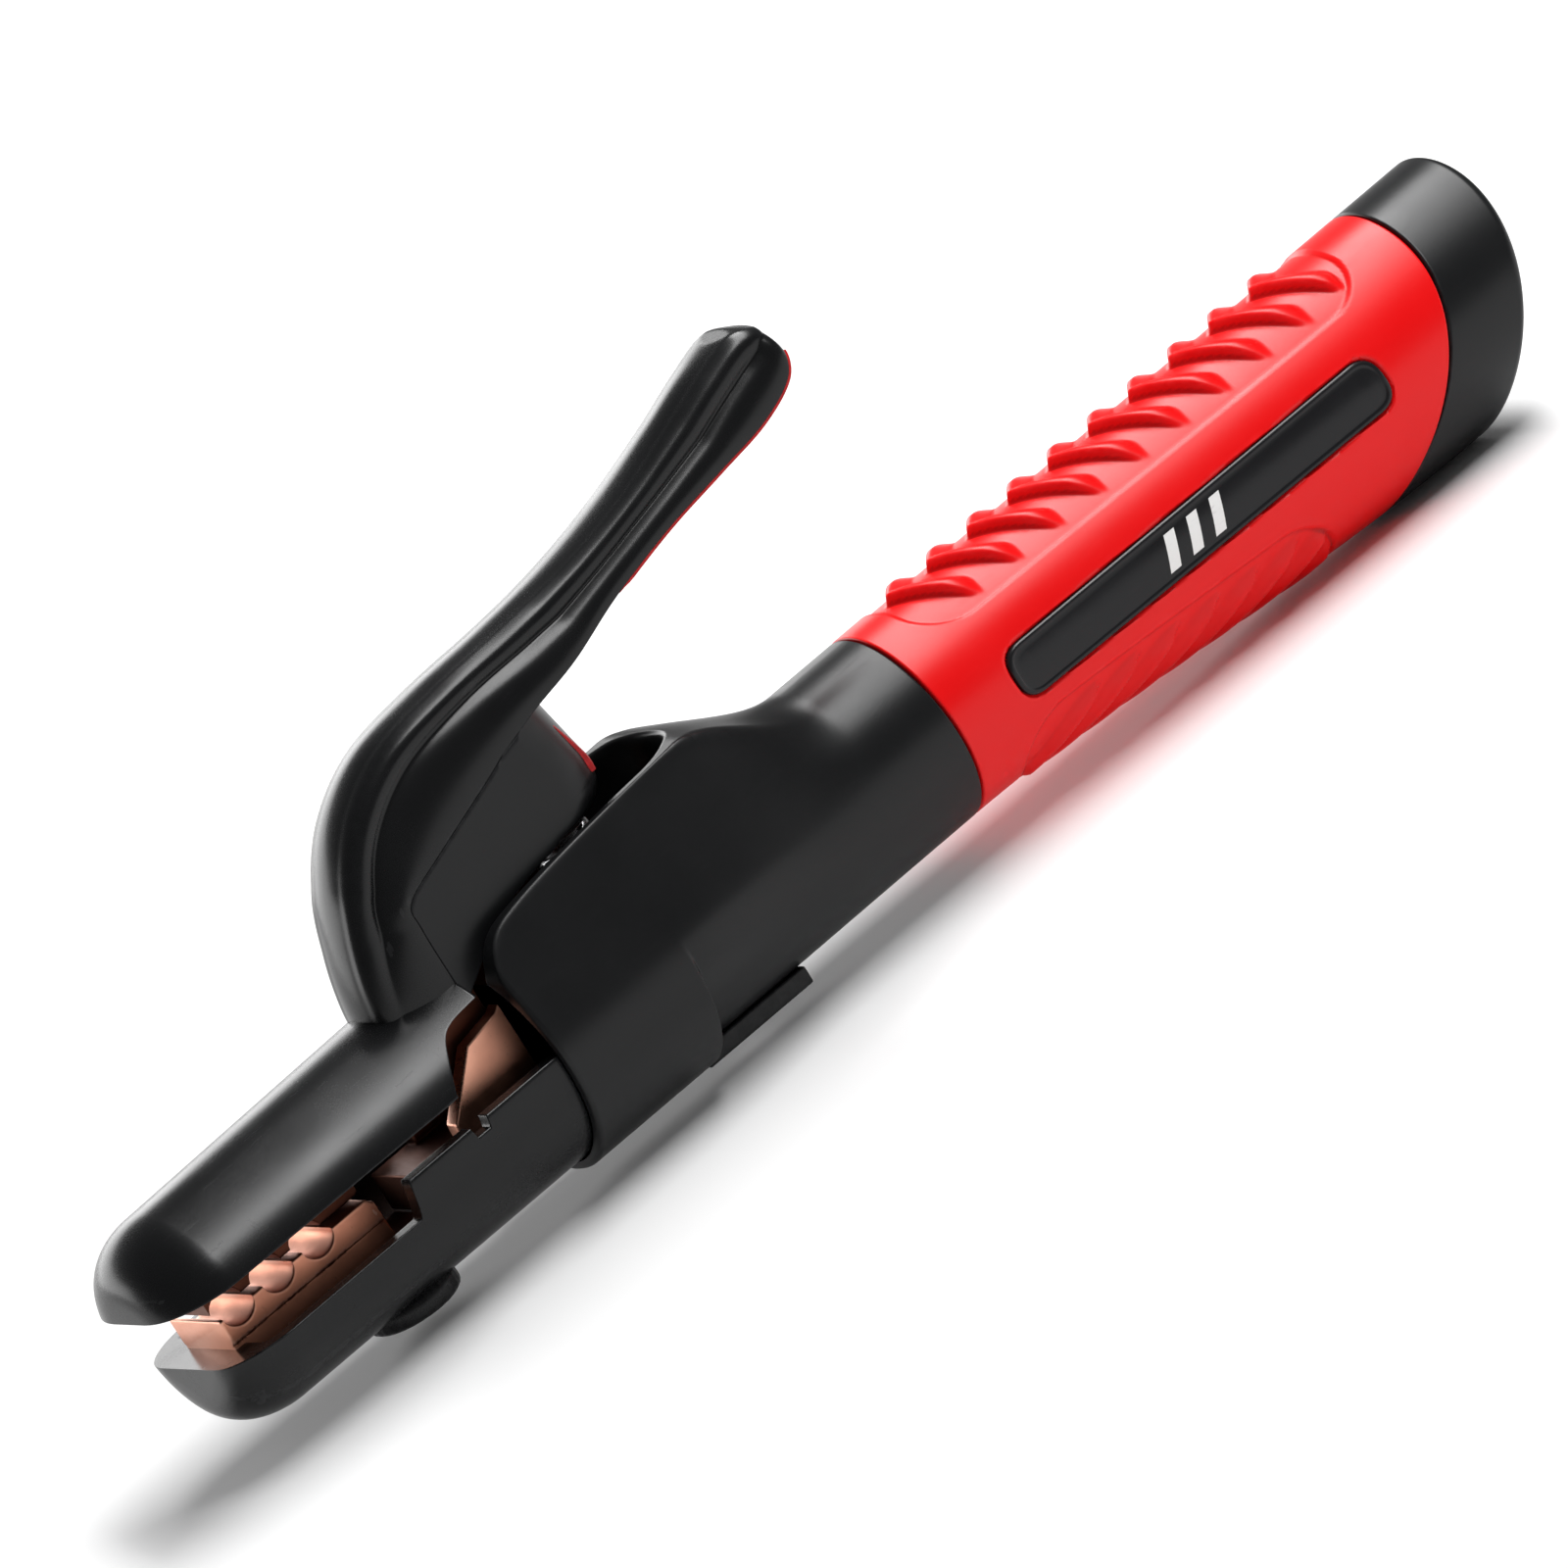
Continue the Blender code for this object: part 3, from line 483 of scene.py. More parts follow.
def copper_finish(name, depth):
    """Satin copper: milled lines across the work, mottled tarnish, brighter rubbed edges, and
    painted shade that darkens what lies below a depth, inside the shells."""
    made = Finish(name, {"Metallic": 1.0})
    lines = made.noise(3.0, 4.0, made.stretched((2.2, 0.12, 0.8)))
    tarnish = made.ramp(made.noise(0.16, 5.0), 0.38, 0.72)
    speck = made.ramp(made.noise(1.6, 4.0), 0.62, 0.75)
    wear = made.worn(0.50, 0.56)
    shade = made.tint(tarnish * 0.55, bpy.context.scene.holder_colours.copper, (0.47, 0.19, 0.12))
    shade = made.tint(speck * 0.35, shade, (0.30, 0.11, 0.07))
    shade = made.tint(wear * 0.5, shade, (0.93, 0.60, 0.47))
    # Painted shade: below the depth the copper is darkened to a deep brown, as if the shells shaded it.
    painted_shade = made.ramp((depth - made.along("Z")) * 0.25 + 0.5, 0.3, 0.7)
    shade = made.tint(painted_shade * 0.9, shade, (0.07, 0.018, 0.010))
    rough = 0.33 + (lines - 0.5) * 0.16 + tarnish * 0.12 - wear * 0.08 + painted_shade * 0.15
    return made.feed(Base_Color=shade, Roughness=rough, Normal=made.bumps(lines + speck * 0.3, 0.25, 0.04))


def metal_finish(name, colour, dull, roughness):
    """Turned or drawn metal: fine lines round the work, cloudy oxide and brighter edges."""
    made = Finish(name, {"Metallic": 1.0})
    lines = made.noise(5.0, 3.0, made.stretched((1.0, 1.0, 0.3)))
    cloud = made.ramp(made.noise(0.4, 4.0), 0.4, 0.75)
    wear = made.worn(0.505, 0.57)
    shade = made.tint(cloud * 0.5, colour, dull)
    shade = made.tint(wear * 0.4, shade, tuple(min(1.0, part * 1.3) for part in colour))
    rough = roughness + (lines - 0.5) * 0.12 + cloud * 0.12
    return made.feed(Base_Color=shade, Roughness=rough, Normal=made.bumps(lines, 0.2, 0.03))


def label_finish(name):
    """Gloss black insert with three plain slanted strokes printed near its middle."""
    made = Finish(name, {"IOR": 1.5, "Specular IOR Level": 0.25})
    up = made.along("Z")
    lean = made.along("X") - LABEL_MIDDLE - up * 0.45
    strokes = None
    for middle in (-4.2, 0.0, 4.2):
        stroke = 1 - (lean - middle).size().over(0.95)
        strokes = stroke if strokes is None else strokes.most(stroke)
    strokes = strokes * (1 - up.size().over(2.4))
    fine = made.noise(5.0, 2.0)
    cloud = made.noise(0.1, 4.0)
    scuff = made.ramp(made.noise(1.2, 5.0, made.stretched((0.15, 1.0, 1.0))), 0.6, 0.8)
    shade = made.tint(cloud * 0.4 + scuff * 0.15, (0.008, 0.008, 0.009), (0.02, 0.02, 0.022))
    shade = made.tint(strokes * (1 - scuff * 0.35), shade, (0.85, 0.85, 0.84))
    rough = 0.24 + (fine - 0.5) * 0.06 + (cloud - 0.5) * 0.1 + strokes * 0.2
    return made.feed(Base_Color=shade, Roughness=rough, Normal=made.bumps(fine + strokes * 0.8, 0.06))


def finish(slot):
    """The material of a slot, wired up the first time that it is asked for."""
    name = f"{slot}_finish"
    if name in bpy.data.materials:
        return bpy.data.materials[name]
    tones = bpy.context.scene.holder_colours
    black = tuple(tones.black)
    pale = tuple(2.4 * part for part in black)
    makers = {
        "grip_red": lambda: moulded(name, tuple(tones.red), (0.90, 0.006, 0.008), 0.33, 0.08, 0.26),
        "liner_red": lambda: moulded(name, (0.36, 0.003, 0.004), (0.50, 0.01, 0.012), 0.40, 0.10, 0.25),
        "gloss_black": lambda: moulded(name, black, pale, 0.25, 0.03, 0.28),
        "matte_black": lambda: moulded(name, tuple(1.3 * part for part in black),
                                       tuple(1.2 * part for part in pale), 0.33, 0.12, 0.28),
        "label": lambda: label_finish(name),
        # Each copper finish carries painted shade below a depth: -7 mm for the open copper, -1 mm for the bar
        # inside the shells, and 30 mm, which shades the whole piece.
        "copper": lambda: copper_finish(name, -7.0),
        "copper_shaded_low": lambda: copper_finish(name, -1.0),
        "copper_shaded_all": lambda: copper_finish(name, 30.0),
        "bright_steel": lambda: metal_finish(name, (0.72, 0.72, 0.73), (0.45, 0.45, 0.46), 0.22),
        "brass": lambda: metal_finish(name, (0.78, 0.57, 0.25), (0.45, 0.31, 0.12), 0.30),
        "nylon": lambda: moulded(name, (0.72, 0.69, 0.58), (0.80, 0.77, 0.68), 0.48, 0.10),
        "fibre_tube": lambda: moulded(name, (0.10, 0.05, 0.03), (0.18, 0.10, 0.06), 0.66, 0.35),
    }
    return makers[slot]()


# Handle

def handle_radius(x):
    """The handle swells from the seam to the tail by an eased share of its length."""
    return mix(SEAM_RADIUS, TAIL_RADIUS, smooth(x / 90))


def swept(x, height, sweep, power):
    """Low points shift forward: by the sweep times a power of the depth below the handle's top."""
    return x - sweep * (np.clip(TOP_Z - height, 0, None) / (2 * TAIL_RADIUS)) ** power


def handle_rings(x, sweep, power, sides, relief=None, drop=0.0):
    """Rings whose top stays level: radius times sine and cosine of the angle from the bottom."""
    angle = around(sides)[None]
    radius = handle_radius(x)
    place = swept(x, TOP_Z - radius - radius * np.cos(angle), sweep, power)
    radius = handle_radius(place)
    swell = radius - drop + (relief(place, angle) if relief else 0.0)
    return np.stack((place, swell * np.sin(angle), TOP_Z - radius - swell * np.cos(angle)), axis=-1)


def bore_rings(x, sweep, power, sides, radius, centre_z):
    """Rings of a round bore, each shifted along x in the same way as the handle's end."""
    angle = around(sides)[None]
    height = centre_z - radius * np.cos(angle)
    across = np.broadcast_to(radius * np.sin(angle), np.broadcast_shapes(np.shape(x), height.shape))
    height = np.broadcast_to(height, across.shape)
    return np.stack((swept(x, height, sweep, power), across, height), axis=-1)


def rounded_box(along, across, middle, half_length, half_width, corner):
    """Distance to a rounded box on the unrolled surface, negative inside it."""
    far_along = np.abs(along - middle) - half_length + corner
    far_across = np.abs(across) - half_width + corner
    outside = np.hypot(np.clip(far_along, 0, None), np.clip(far_across, 0, None))
    return outside + np.minimum(np.maximum(far_along, far_across), 0) - corner


def label_distance(along, height):
    """Distance from the line between the ends of a label, squared off a little at the ends."""
    beyond = np.maximum(np.maximum(LABEL_X[0] - along, along - LABEL_X[1]), 0)
    return (beyond ** LABEL_POWER + np.abs(height) ** LABEL_POWER) ** (1 / LABEL_POWER)


def grip_relief(place, angle):
    """Height of the grip's detail over its round.

    Both panels sink inside a rounded box. A rib rises steeply on one flank and eases down the
    other, slants back with its distance from the middle, and dies out towards its tip.
    """
    sizes = bpy.context.scene.holder_sizes
    pitch, rib = sizes.rib_pitch / MM, sizes.rib_height / MM
    degrees = np.degrees(angle)
    from_top = np.abs(180 - degrees)
    upper = rounded_box(place, np.radians(from_top) * 16.3, *UPPER_PANEL)
    count = (place - 9 * from_top / 50 - 7.5) / pitch
    part = count - np.floor(count)
    leaf = (1 - smooth((from_top - 25) / 19)) * smooth((-0.3 - upper) / 2.5) * ((count > 0) & (count < 10))
    ridge = smooth(part / 0.13) * (1 - smooth((part - 0.13 - 0.1 * leaf) / (0.1 + 0.3 * leaf)))
    relief = -0.4 * smooth(-upper / 0.5) + (rib + 0.4) * ridge * leaf

    from_bottom = np.minimum(degrees, 360 - degrees)
    lower = rounded_box(place, np.radians(from_bottom) * 16.6, *LOWER_PANEL)
    count = (place - 0.33 * from_bottom + 2.67) / 7.08
    part = count - np.floor(count)
    ridge = smooth((part - 0.2) / 0.6) * (1 - smooth((part - 0.88) / 0.08))
    leaf = (1 - smooth((from_bottom - 49) / 10)) * smooth(-lower / 2.0) * ((count > 0) & (count < 8))
    relief += -0.5 * smooth(-lower / 0.6) + rib * ridge * leaf

    radius = handle_radius(place)
    height = TOP_Z - radius - radius * np.cos(angle)
    return relief - 0.85 * (1 - smooth((label_distance(place, height) - LABEL_HALF - 0.02) / 0.4))


def grip_surface():
    """Grip: swept rings outside, rounded at both ends, and a bore of the same angles inside."""
    x = stations(*GRIP_X, 0.335, (GRIP_X[0], 0.5, 0.1), (GRIP_X[1], 0.5, 0.1))[:, None]
    share = (x - GRIP_X[0]) / (GRIP_X[1] - GRIP_X[0])
    sweep, power = GRIP_SWEEP
    drop = fillet(x - GRIP_X[0], END_ROUNDING) + fillet(GRIP_X[1] - x, END_ROUNDING)
    sides = 284
    skin = handle_rings(x, sweep * share, power, sides, grip_relief, drop)
    ends = np.array([[GRIP_X[0]], [GRIP_X[1]]])
    bore = bore_rings(ends, np.array([[0.0], [sweep]]), power, sides, BORE_RADIUS, 0.0)
    return [sheet(np.concatenate((bore[:1], skin, bore[1:])), ring=True, loop=True)]


def rear_cap_surface():
    """Rear cap: swept rings, a rounded end, the cable inlet and the seat for the handle's tube."""
    x = stations(*TAIL_X, 0.5, (TAIL_X[0], 0.6, 0.1), (TAIL_X[1], 1.6, 0.12))[:, None]
    share = (x - TAIL_X[0]) / (TAIL_X[1] - TAIL_X[0])
    sweep = mix(GRIP_SWEEP[0], TAIL_SWEEP[0], share)
    power = mix(GRIP_SWEEP[1], TAIL_SWEEP[1], share)
    sides = 180
    drop = fillet(x - TAIL_X[0], END_ROUNDING) + fillet(TAIL_X[1] - x, 1.3)
    skin = handle_rings(x, sweep, power, sides, None, drop)
    centre = TOP_Z - TAIL_RADIUS
    flare = np.linspace(0, math.pi / 2, 7)[:, None]
    mouth_x, mouth_radius = TAIL_X[1] - (1 - np.cos(flare)), INLET_RADIUS + 1 - np.sin(flare)
    mouth = np.concatenate([bore_rings(place[None], *TAIL_SWEEP, sides, radius[None], centre)
                            for place, radius in zip(mouth_x, mouth_radius)])
    inner_x = np.array([[95.3]])
    throat = bore_rings(inner_x, 0.0, 1.0, sides, INLET_RADIUS, centre)
    seat = bore_rings(inner_x, 0.0, 1.0, sides, BORE_RADIUS, 0.0)
    front = bore_rings(np.array([[TAIL_X[0]]]), *GRIP_SWEEP, sides, BORE_RADIUS, 0.0)
    return [sheet(np.concatenate((skin, mouth, throat, seat, front)), ring=True, loop=True)]


def label_surface(side):
    """Label insert: rings that grow from its middle line to its edge, a bead round a low field."""
    turn = around(120)
    share = np.array([0.0, 0.3, 0.6, 0.76, 0.80, 0.84, 0.88, 0.92, 0.955, 0.98, 1.0, 1.0])[:, None]
    lift = np.array([0.0, 0.0, 0.0, 0.0, 0.05, 0.17, 0.2, 0.19, 0.13, 0.03, -0.12, -1.2])[:, None]
    along, up = np.cos(turn), np.sin(turn)
    reach = (np.abs(along) ** LABEL_POWER + np.abs(up) ** LABEL_POWER) ** (-1 / LABEL_POWER)
    reach = reach * LABEL_HALF * share
    core = mix(*LABEL_X, (np.clip(along * 40, -1, 1) + 1) / 2)
    x = core + along * reach
    z = np.broadcast_to(up * reach, x.shape)
    radius = handle_radius(x)
    depth = np.sqrt(radius ** 2 - (z - TOP_Z + radius) ** 2) - 0.05 + lift
    grid = np.stack((x, side * depth, z), axis=-1)
    back = grid[-1:] * np.array((1.0, 0.0, 1.0)) + np.array((0.0, side * 13.75, 0.0))
    line = back.copy()
    line[..., 2] = 0.0
    line[..., 0] = core
    return [sheet(np.concatenate((grid[:-1], back, line)), ring=True)]


# Sleeve

def sleeve_radius(x, angle):
    """Radius of the sleeve: a sharp step underneath that becomes a long ease higher up."""
    low = mix(SLEEVE_RADIUS, STEP_RADIUS, smooth((x - STEP_X) / 0.8))
    low = mix(low, SEAM_RADIUS, smooth((x - STEP_X) / -STEP_X))
    high = mix(SLEEVE_RADIUS, SEAM_RADIUS, smooth((x - STEP_X) / 30))
    return mix(low, high, smooth((np.degrees(angle) - 60) / 40))


def sleeve_section(x, angle):
    """Half section by angle from the bottom: a circle, then a tangent wall to the collar's corner,
    then its flat top; the collar fades back into the circle towards the seam."""
    radius = sleeve_radius(x, angle)
    collar = 1 - smooth((x - LEVEL_X) / 22)
    lean = math.atan2(COLLAR[1], COLLAR[0]) - np.arccos(radius / math.hypot(*COLLAR))
    tangent = math.pi / 2 + lean
    wall = np.clip((angle - tangent) / (CORNER_TURN - tangent), 0, 1)
    top = np.clip((angle - CORNER_TURN) / (math.pi - CORNER_TURN), 0, 1)
    round_y, round_z = radius * np.sin(angle), -radius * np.cos(angle)
    wall_y = mix(radius * np.sin(tangent), COLLAR[0], wall) * (1 - top)
    wall_z = mix(-radius * np.cos(tangent), COLLAR[1], wall)
    y = mix(round_y, np.where(angle > tangent, wall_y, round_y), collar)
    z = mix(round_z, np.where(angle > tangent, wall_z, round_z), collar)
    return y, z


def angle_where(x, wanted, low, high, part, rising):
    """Angle at which one part (0 for y, 1 for z) of the section reaches a wanted value, by halving."""
    low, high = np.broadcast_arrays(low, high + 0 * x)
    low, high = low.copy(), high.copy()
    for _ in range(30):
        middle = (low + high) / 2
        below = sleeve_section(x, middle)[part] < wanted
        go_up = below if rising else ~below
        low, high = np.where(go_up, middle, low), np.where(go_up, high, middle)
    return (low + high) / 2


def sleeve_surface():
    """Front sleeve: skin, rounded rim and walls of the lever's throat, bore, and both end faces."""
    x = stations(SLEEVE_FRONT_X, 0.0, 0.9, (SLEEVE_FRONT_X, 8.0, 0.25), (SLEEVE_FRONT_X, 1.0, 0.08),
                 (SLEEVE_BORE_END_X, 0.3, 0.1), (STEP_X + 0.4, 0.8, 0.1), (THROAT_CENTRE_X + 4, 4.5, 0.3),
                 (THROAT_END_X, 1.4, 0.08), (0.0, 0.5, 0.08))
    x = np.unique(np.append(x, (THROAT_END_X, THROAT_END_X - 0.02, LEVEL_X)))[:, None]
    edge = through(SLEEVE_EDGE, 8)
    open_x = x < LEVEL_X
    top_z = np.where(open_x, np.interp(x, edge[:, 0], edge[:, 1]), COLLAR[1])
    inner = mix(SLEEVE_BORE, BORE_RADIUS, smooth((x - SLEEVE_BORE_END_X) / 0.2))
    turn = angle_where(x, top_z, 0.5 * math.pi, CORNER_TURN, 1, True)
    turn = np.where(open_x, np.minimum(turn, CORNER_TURN), CORNER_TURN)

    reach = np.clip(THROAT_HALF ** 2 - np.clip(x - THROAT_CENTRE_X, 0, None) ** 2, 0, None) ** 0.5
    slot_y = np.where(x <= THROAT_END_X, reach, 0.0)
    slot_y = np.maximum(slot_y, leg(inner, top_z))
    share = row(76)
    side_y, side_z = sleeve_section(x, turn * share)
    share = row(25)[:, 1:]
    end_turn = angle_where(x, slot_y, CORNER_TURN + 0 * x, math.pi, 0, False)
    flat_y = mix(side_y[:, -1:], slot_y, share)
    over_y, over_z = sleeve_section(x, mix(CORNER_TURN, end_turn, share))
    rim_y = np.where(open_x, flat_y, over_y)
    rim_y[:, -1:] = slot_y
    rim_z = np.where(open_x, top_z, over_z)
    rows = np.broadcast_to(x, (len(x), side_y.shape[1] + rim_y.shape[1]))
    skin = eased(placed(rows, beside(side_y, rim_y), beside(side_z, rim_z)), 5)

    rounding = bpy.context.scene.holder_sizes.rim_rounding / MM
    beyond = np.hypot(np.clip(rows - THROAT_CENTRE_X, 0, None), skin[..., 1]) - THROAT_HALF
    limit = np.clip(0.45 * (top_z - leg(inner, slot_y)), 0.05, rounding)
    near_slot = (skin[..., 2] > 8.0) & (rows > SLEEVE_FRONT_X - 1)
    skin[..., 2] -= np.where(near_slot, fillet(np.maximum(beyond, 0), limit), 0.0)
    draw = fillet(rows - SLEEVE_FRONT_X, 0.8) + fillet(-rows, 0.35)
    length = np.maximum(np.hypot(skin[..., 1], skin[..., 2]), 1.0)
    pull = draw / length * smooth((20 - skin[..., 2]) / 4)
    skin[..., 1] *= 1 - pull
    skin[..., 2] *= 1 - pull

    turn = np.arctan2(slot_y, leg(inner, slot_y))
    angle = mix(turn, math.pi, row(100))
    bore = placed(x, inner * np.sin(angle), inner * np.cos(angle))
    open_rows = x[:, 0] <= THROAT_END_X
    drop = np.linspace(0, 1, 12)[None, :, None]
    wall = mix(skin[open_rows, -1:], bore[open_rows, :1], drop)
    return both_sides(skin, wall, bore, np.stack((skin[-1], bore[-1, ::-1])))


# Jaws and their shells

def shell_place(radius, edge_z, x, tip_x, body_x, tip_share, angle):
    """Round bar by angle from the bottom, shrunk towards its tip about a point on its edge plane
    by the square root of one less the square of how far it reaches towards the tip."""
    reach = np.clip((body_x - x) / (body_x - tip_x), 0, 1)
    size = mix(tip_share, 1.0, np.sqrt(1 - reach ** 2))
    y = radius * np.sin(angle) * size
    z = edge_z + (-radius * np.cos(angle) - edge_z) * size
    return y, z, size


def shell_halves(x, outer, rim, flat_y, bore, hollow):
    """A shell's section: its outer arc, its rim, then a flat front that turns into a bore by a share."""
    inner_y = mix(flat_y, bore[0], hollow)
    inner_z = mix(np.broadcast_to(rim, flat_y.shape), bore[1], hollow)
    rim_y = mix(outer[0][:, -1:], inner_y[:, :1], row(18))
    y = beside(outer[0], rim_y[:, 1:], inner_y[:, 1:])
    z = beside(outer[1], np.broadcast_to(rim, rim_y.shape)[:, 1:], inner_z[:, 1:])
    return both_sides(eased(placed(x, y, z), 2))


def trough_surface():
    """Lower shell: a half-round trough, solid and flat in front, whose rim steps up behind the jaw."""
    tip, tail = TROUGH_X
    x = stations(tip, tail, 0.7, (tip, 1.2, 0.1), (tip, 10.0, 0.3), (-133.3, 0.4, 0.08),
                 (-103.2, 1.8, 0.12), (-91.2, 0.8, 0.1), (-88.2, 0.9, 0.1), (tail, 0.8, 0.12))[:, None]
    rim = mix(TROUGH_EDGE_Z, 1.8, smooth((x + 104.0) / 1.5))
    rim = rim - 1.6 * smooth((x + 91.2) / 0.3) * (1 - smooth((x + 88.6) / 0.5))
    radius = 16.0 - fillet(x - tip, 0.7) - fillet(tail - x, 0.5)
    share = row(84)
    turn = np.arccos(-rim / radius)
    y, z, size = shell_place(radius, TROUGH_EDGE_Z, x, tip, tip + 10, 0.5, turn * share)
    share = share[:, ::-1]
    turn = np.arccos(-rim / TROUGH_BORE)
    bore = TROUGH_BORE * np.sin(turn * share), -TROUGH_BORE * np.cos(turn * share)
    flat_y = TROUGH_BORE * np.sin(turn) * size * share
    return shell_halves(x, (y, z), rim, flat_y, bore, smooth((x + 131.5) / 4.0))


def cap_surface():
    """Upper shell: a domed half-round cap whose edge rises behind in a curve over the copper."""
    tip, tail = CAP_X
    x = stations(tip, tail, 0.6, (tip, 1.5, 0.08), (tip, 10.5, 0.25), (-133.7, 0.4, 0.08),
                 (-88.0, 3.2, 0.15), (tail, 1.0, 0.12))[:, None]
    edge = through([(tip, CAP_EDGE_Z), (-120, CAP_EDGE_Z), (-100, CAP_EDGE_Z), (-91.2, CAP_EDGE_Z),
                    (-90.4, 6.9), (-88.5, 9.6), (-86.0, 12.4), (-83.5, 13.5), (-79.0, 13.9),
                    (-77.0, 13.9)], 8)
    rim = np.interp(x, edge[:, 0], edge[:, 1])
    radius = 18.3 - 1.4 * (tail - x) / (tail - tip) - fillet(x - tip, 0.9) - fillet(tail - x, 0.6)
    share = row(88)
    place = (radius, CAP_EDGE_Z, x, tip, tip + 10, 0.3)
    size = shell_place(*place, 0 * share)[2]
    end = np.arccos(-(CAP_EDGE_Z + (rim - CAP_EDGE_Z) / size) / radius)
    y, z, size = shell_place(*place, mix(math.pi, end, share))
    share = share[:, ::-1]
    turn = np.arccos((rim + 1) / CAP_BORE)
    bore = CAP_BORE * np.sin(turn * share), -1 + CAP_BORE * np.cos(turn * share)
    flat_y = np.minimum(CAP_BORE * np.sin(turn), y[:, -1:] * 0.8) * share
    return shell_halves(x, (y, z), rim, flat_y, bore, smooth((x + 133.85) / 0.3))


def jaw_rows(x, low, high, half, edge, ledge=None):
    """Half section of a jaw at each x: a box from low to high whose corners are quarter circles;
    below a ledge its side is set back a little."""
    turn = np.linspace(0, math.pi / 2, 7)[None]
    flat = np.linspace(0, 1, 8)[None, :-1]
    inset = half - edge
    y = beside(flat * inset, inset + edge * np.sin(turn))
    z = beside(low + 0 * flat, low + edge * (1 - np.cos(turn)))
    share = np.linspace(0, 1, 40)[None, 1:-1]
    side_z = mix(low + edge, high - edge, share)
    side_y = half + 0 * side_z
    top_y = inset + edge * np.cos(turn)
    top_z = high - edge * (1 - np.sin(turn))
    y = beside(y, side_y, top_y, flat[:, ::-1] * inset)
    z = beside(z, side_z, top_z, high + 0 * flat)
    if ledge is not None:
        flare = 0.2 * np.clip(ledge - z, 0, 3.6) - 0.38 * smooth((ledge - z) / 0.2)
        y = y + flare * (y / half)
    return placed(x, y, z)


def grooves(x):
    """Depth of the jaw's grooves: a quarter power under a semicircle at each middle."""
    near = np.clip(1 - ((x - TOOTH_MIDDLES[None] + 0.25) / 2.75) ** 2, 0, None)
    return 2.25 * np.max(near ** 0.55, axis=1, keepdims=True)


def lower_jaw_surface():
    """Fixed jaw: grooves across its top, a milled ledge along its sides, a chamfered rear corner
    and a low foot behind."""
    back = JAW_X[1]
    x = stations(JAW_X[0], -97.0, 0.5, (-122.0, 11.0, 0.1), (back, 1.6, 0.1))
    x = np.unique(np.append(x, (back, back + 0.03)))[:, None]
    high = 0.95 - grooves(x) - 0.9 * smooth((x - back + 1.1) / 1.1) - fillet(x - JAW_X[0], 0.3)
    high = np.where(x > back, -8.0, high)
    low = -10.8 + fillet(x - JAW_X[0], 0.3)
    half = JAW_HALF - fillet(x - JAW_X[0], 0.35)
    return both_sides(jaw_rows(x, low, high, half, 0.3, -2.85))


def upper_jaw_surface():
    """Moving jaw: a narrower block with the same grooves cut up into its underside."""
    x = stations(JAW_X[0] + 0.5, JAW_X[1], 0.5, (-122.0, 11.0, 0.12))[:, None]
    low = 1.3 + grooves(x) * 0.9 + fillet(x - JAW_X[0] - 0.5, 0.3) + fillet(JAW_X[1] - x, 0.3)
    return both_sides(jaw_rows(x, low, 8.2 + 0 * x, 4.6 + 0 * x, 0.3))


# Lever

def lever_lines():
    """Edge curves of the lever with, at each place, its half width below and above, its thickness
    and how far its width has shrunk towards the tip: the root of one less a power of the reach."""
    back, inner = through(LEVER_BACK, 12), through(LEVER_INNER, 12)
    along = np.linspace(0, 1, len(back))[:, None]
    thick = np.linalg.norm(back - inner, axis=1)[:, None]
    wide = mix(8.35, 7.45, smooth((along - 0.5) / 0.14))
    narrow = mix(6.5, 6.2, smooth((along - 0.2) / 0.4))
    near_tip = np.clip((along - 0.92) / 0.08, 0, 1)
    shrink = np.sqrt(1 - (0.86 * near_tip) ** 4)
    return back, inner, along, thick, wide, narrow, shrink


def lever_surface():
    """Thumb lever: rows along its two edge curves, each a section from the inner edge to the back
    with leaning sides that dip into a fold, a broad roll above the fold, and a crowned back."""
    back, inner, along, thick, wide, narrow, shrink = lever_lines()
    turn = np.linspace(0, math.pi / 2, 8)[None]
    zero = np.zeros_like(thick)
    low_round = np.minimum(0.3, thick * 0.1)
    flat = wide - low_round
    inner_y = beside(zero, flat * 0.5, flat + low_round * np.sin(turn))
    inner_h = beside(zero, zero, low_round * (1 - np.cos(turn)))
    roll = np.minimum(2.7, thick * 0.3)
    roll_y = 1.1 * roll
    dip = 0.62 * smooth((along - 0.02) / 0.2) * (1 - smooth((along - 0.89) / 0.09))
    fold_h = thick - roll * (1 + np.sin(dip))
    fold_in = roll_y * (1 - np.cos(dip))
    share = row(34)[:, 1:]
    side_h = mix(low_round, fold_h, share)
    side_y = mix(wide, narrow, share ** 1.5) + 0.3 * np.sin(math.pi * share)
    side_y = side_y - fold_in * np.clip((share - 0.55) / 0.45, 0, 1) ** 3
    turn = mix(-dip, math.pi / 2, row(20)[:, 1:])
    back_y = narrow - roll_y * (1 - np.cos(turn))
    back_h = thick - roll + roll * np.sin(turn)
    over = np.linspace(1, 0, 16)[None, 1:]
    crown_y = (narrow - roll_y) * over
    crown_h = thick + 0.5 * (1 - over ** 2) * (1 - 0.5 * smooth((along - 0.8) / 0.1))
    y = beside(inner_y, side_y, back_y, crown_y) * shrink
    height = beside(inner_h, side_h, back_h, crown_h)
    share = np.clip(height / np.maximum(thick, 1e-6), -0.2, 1.1)
    spot = inner[:, None] + (back - inner)[:, None] * share[..., None]
    grid = np.stack((spot[..., 0], y, spot[..., 1]), axis=-1)
    grid[..., 2] = np.minimum(grid[..., 2], LEVER_TOP_Z)
    return both_sides(eased(grid, 2))


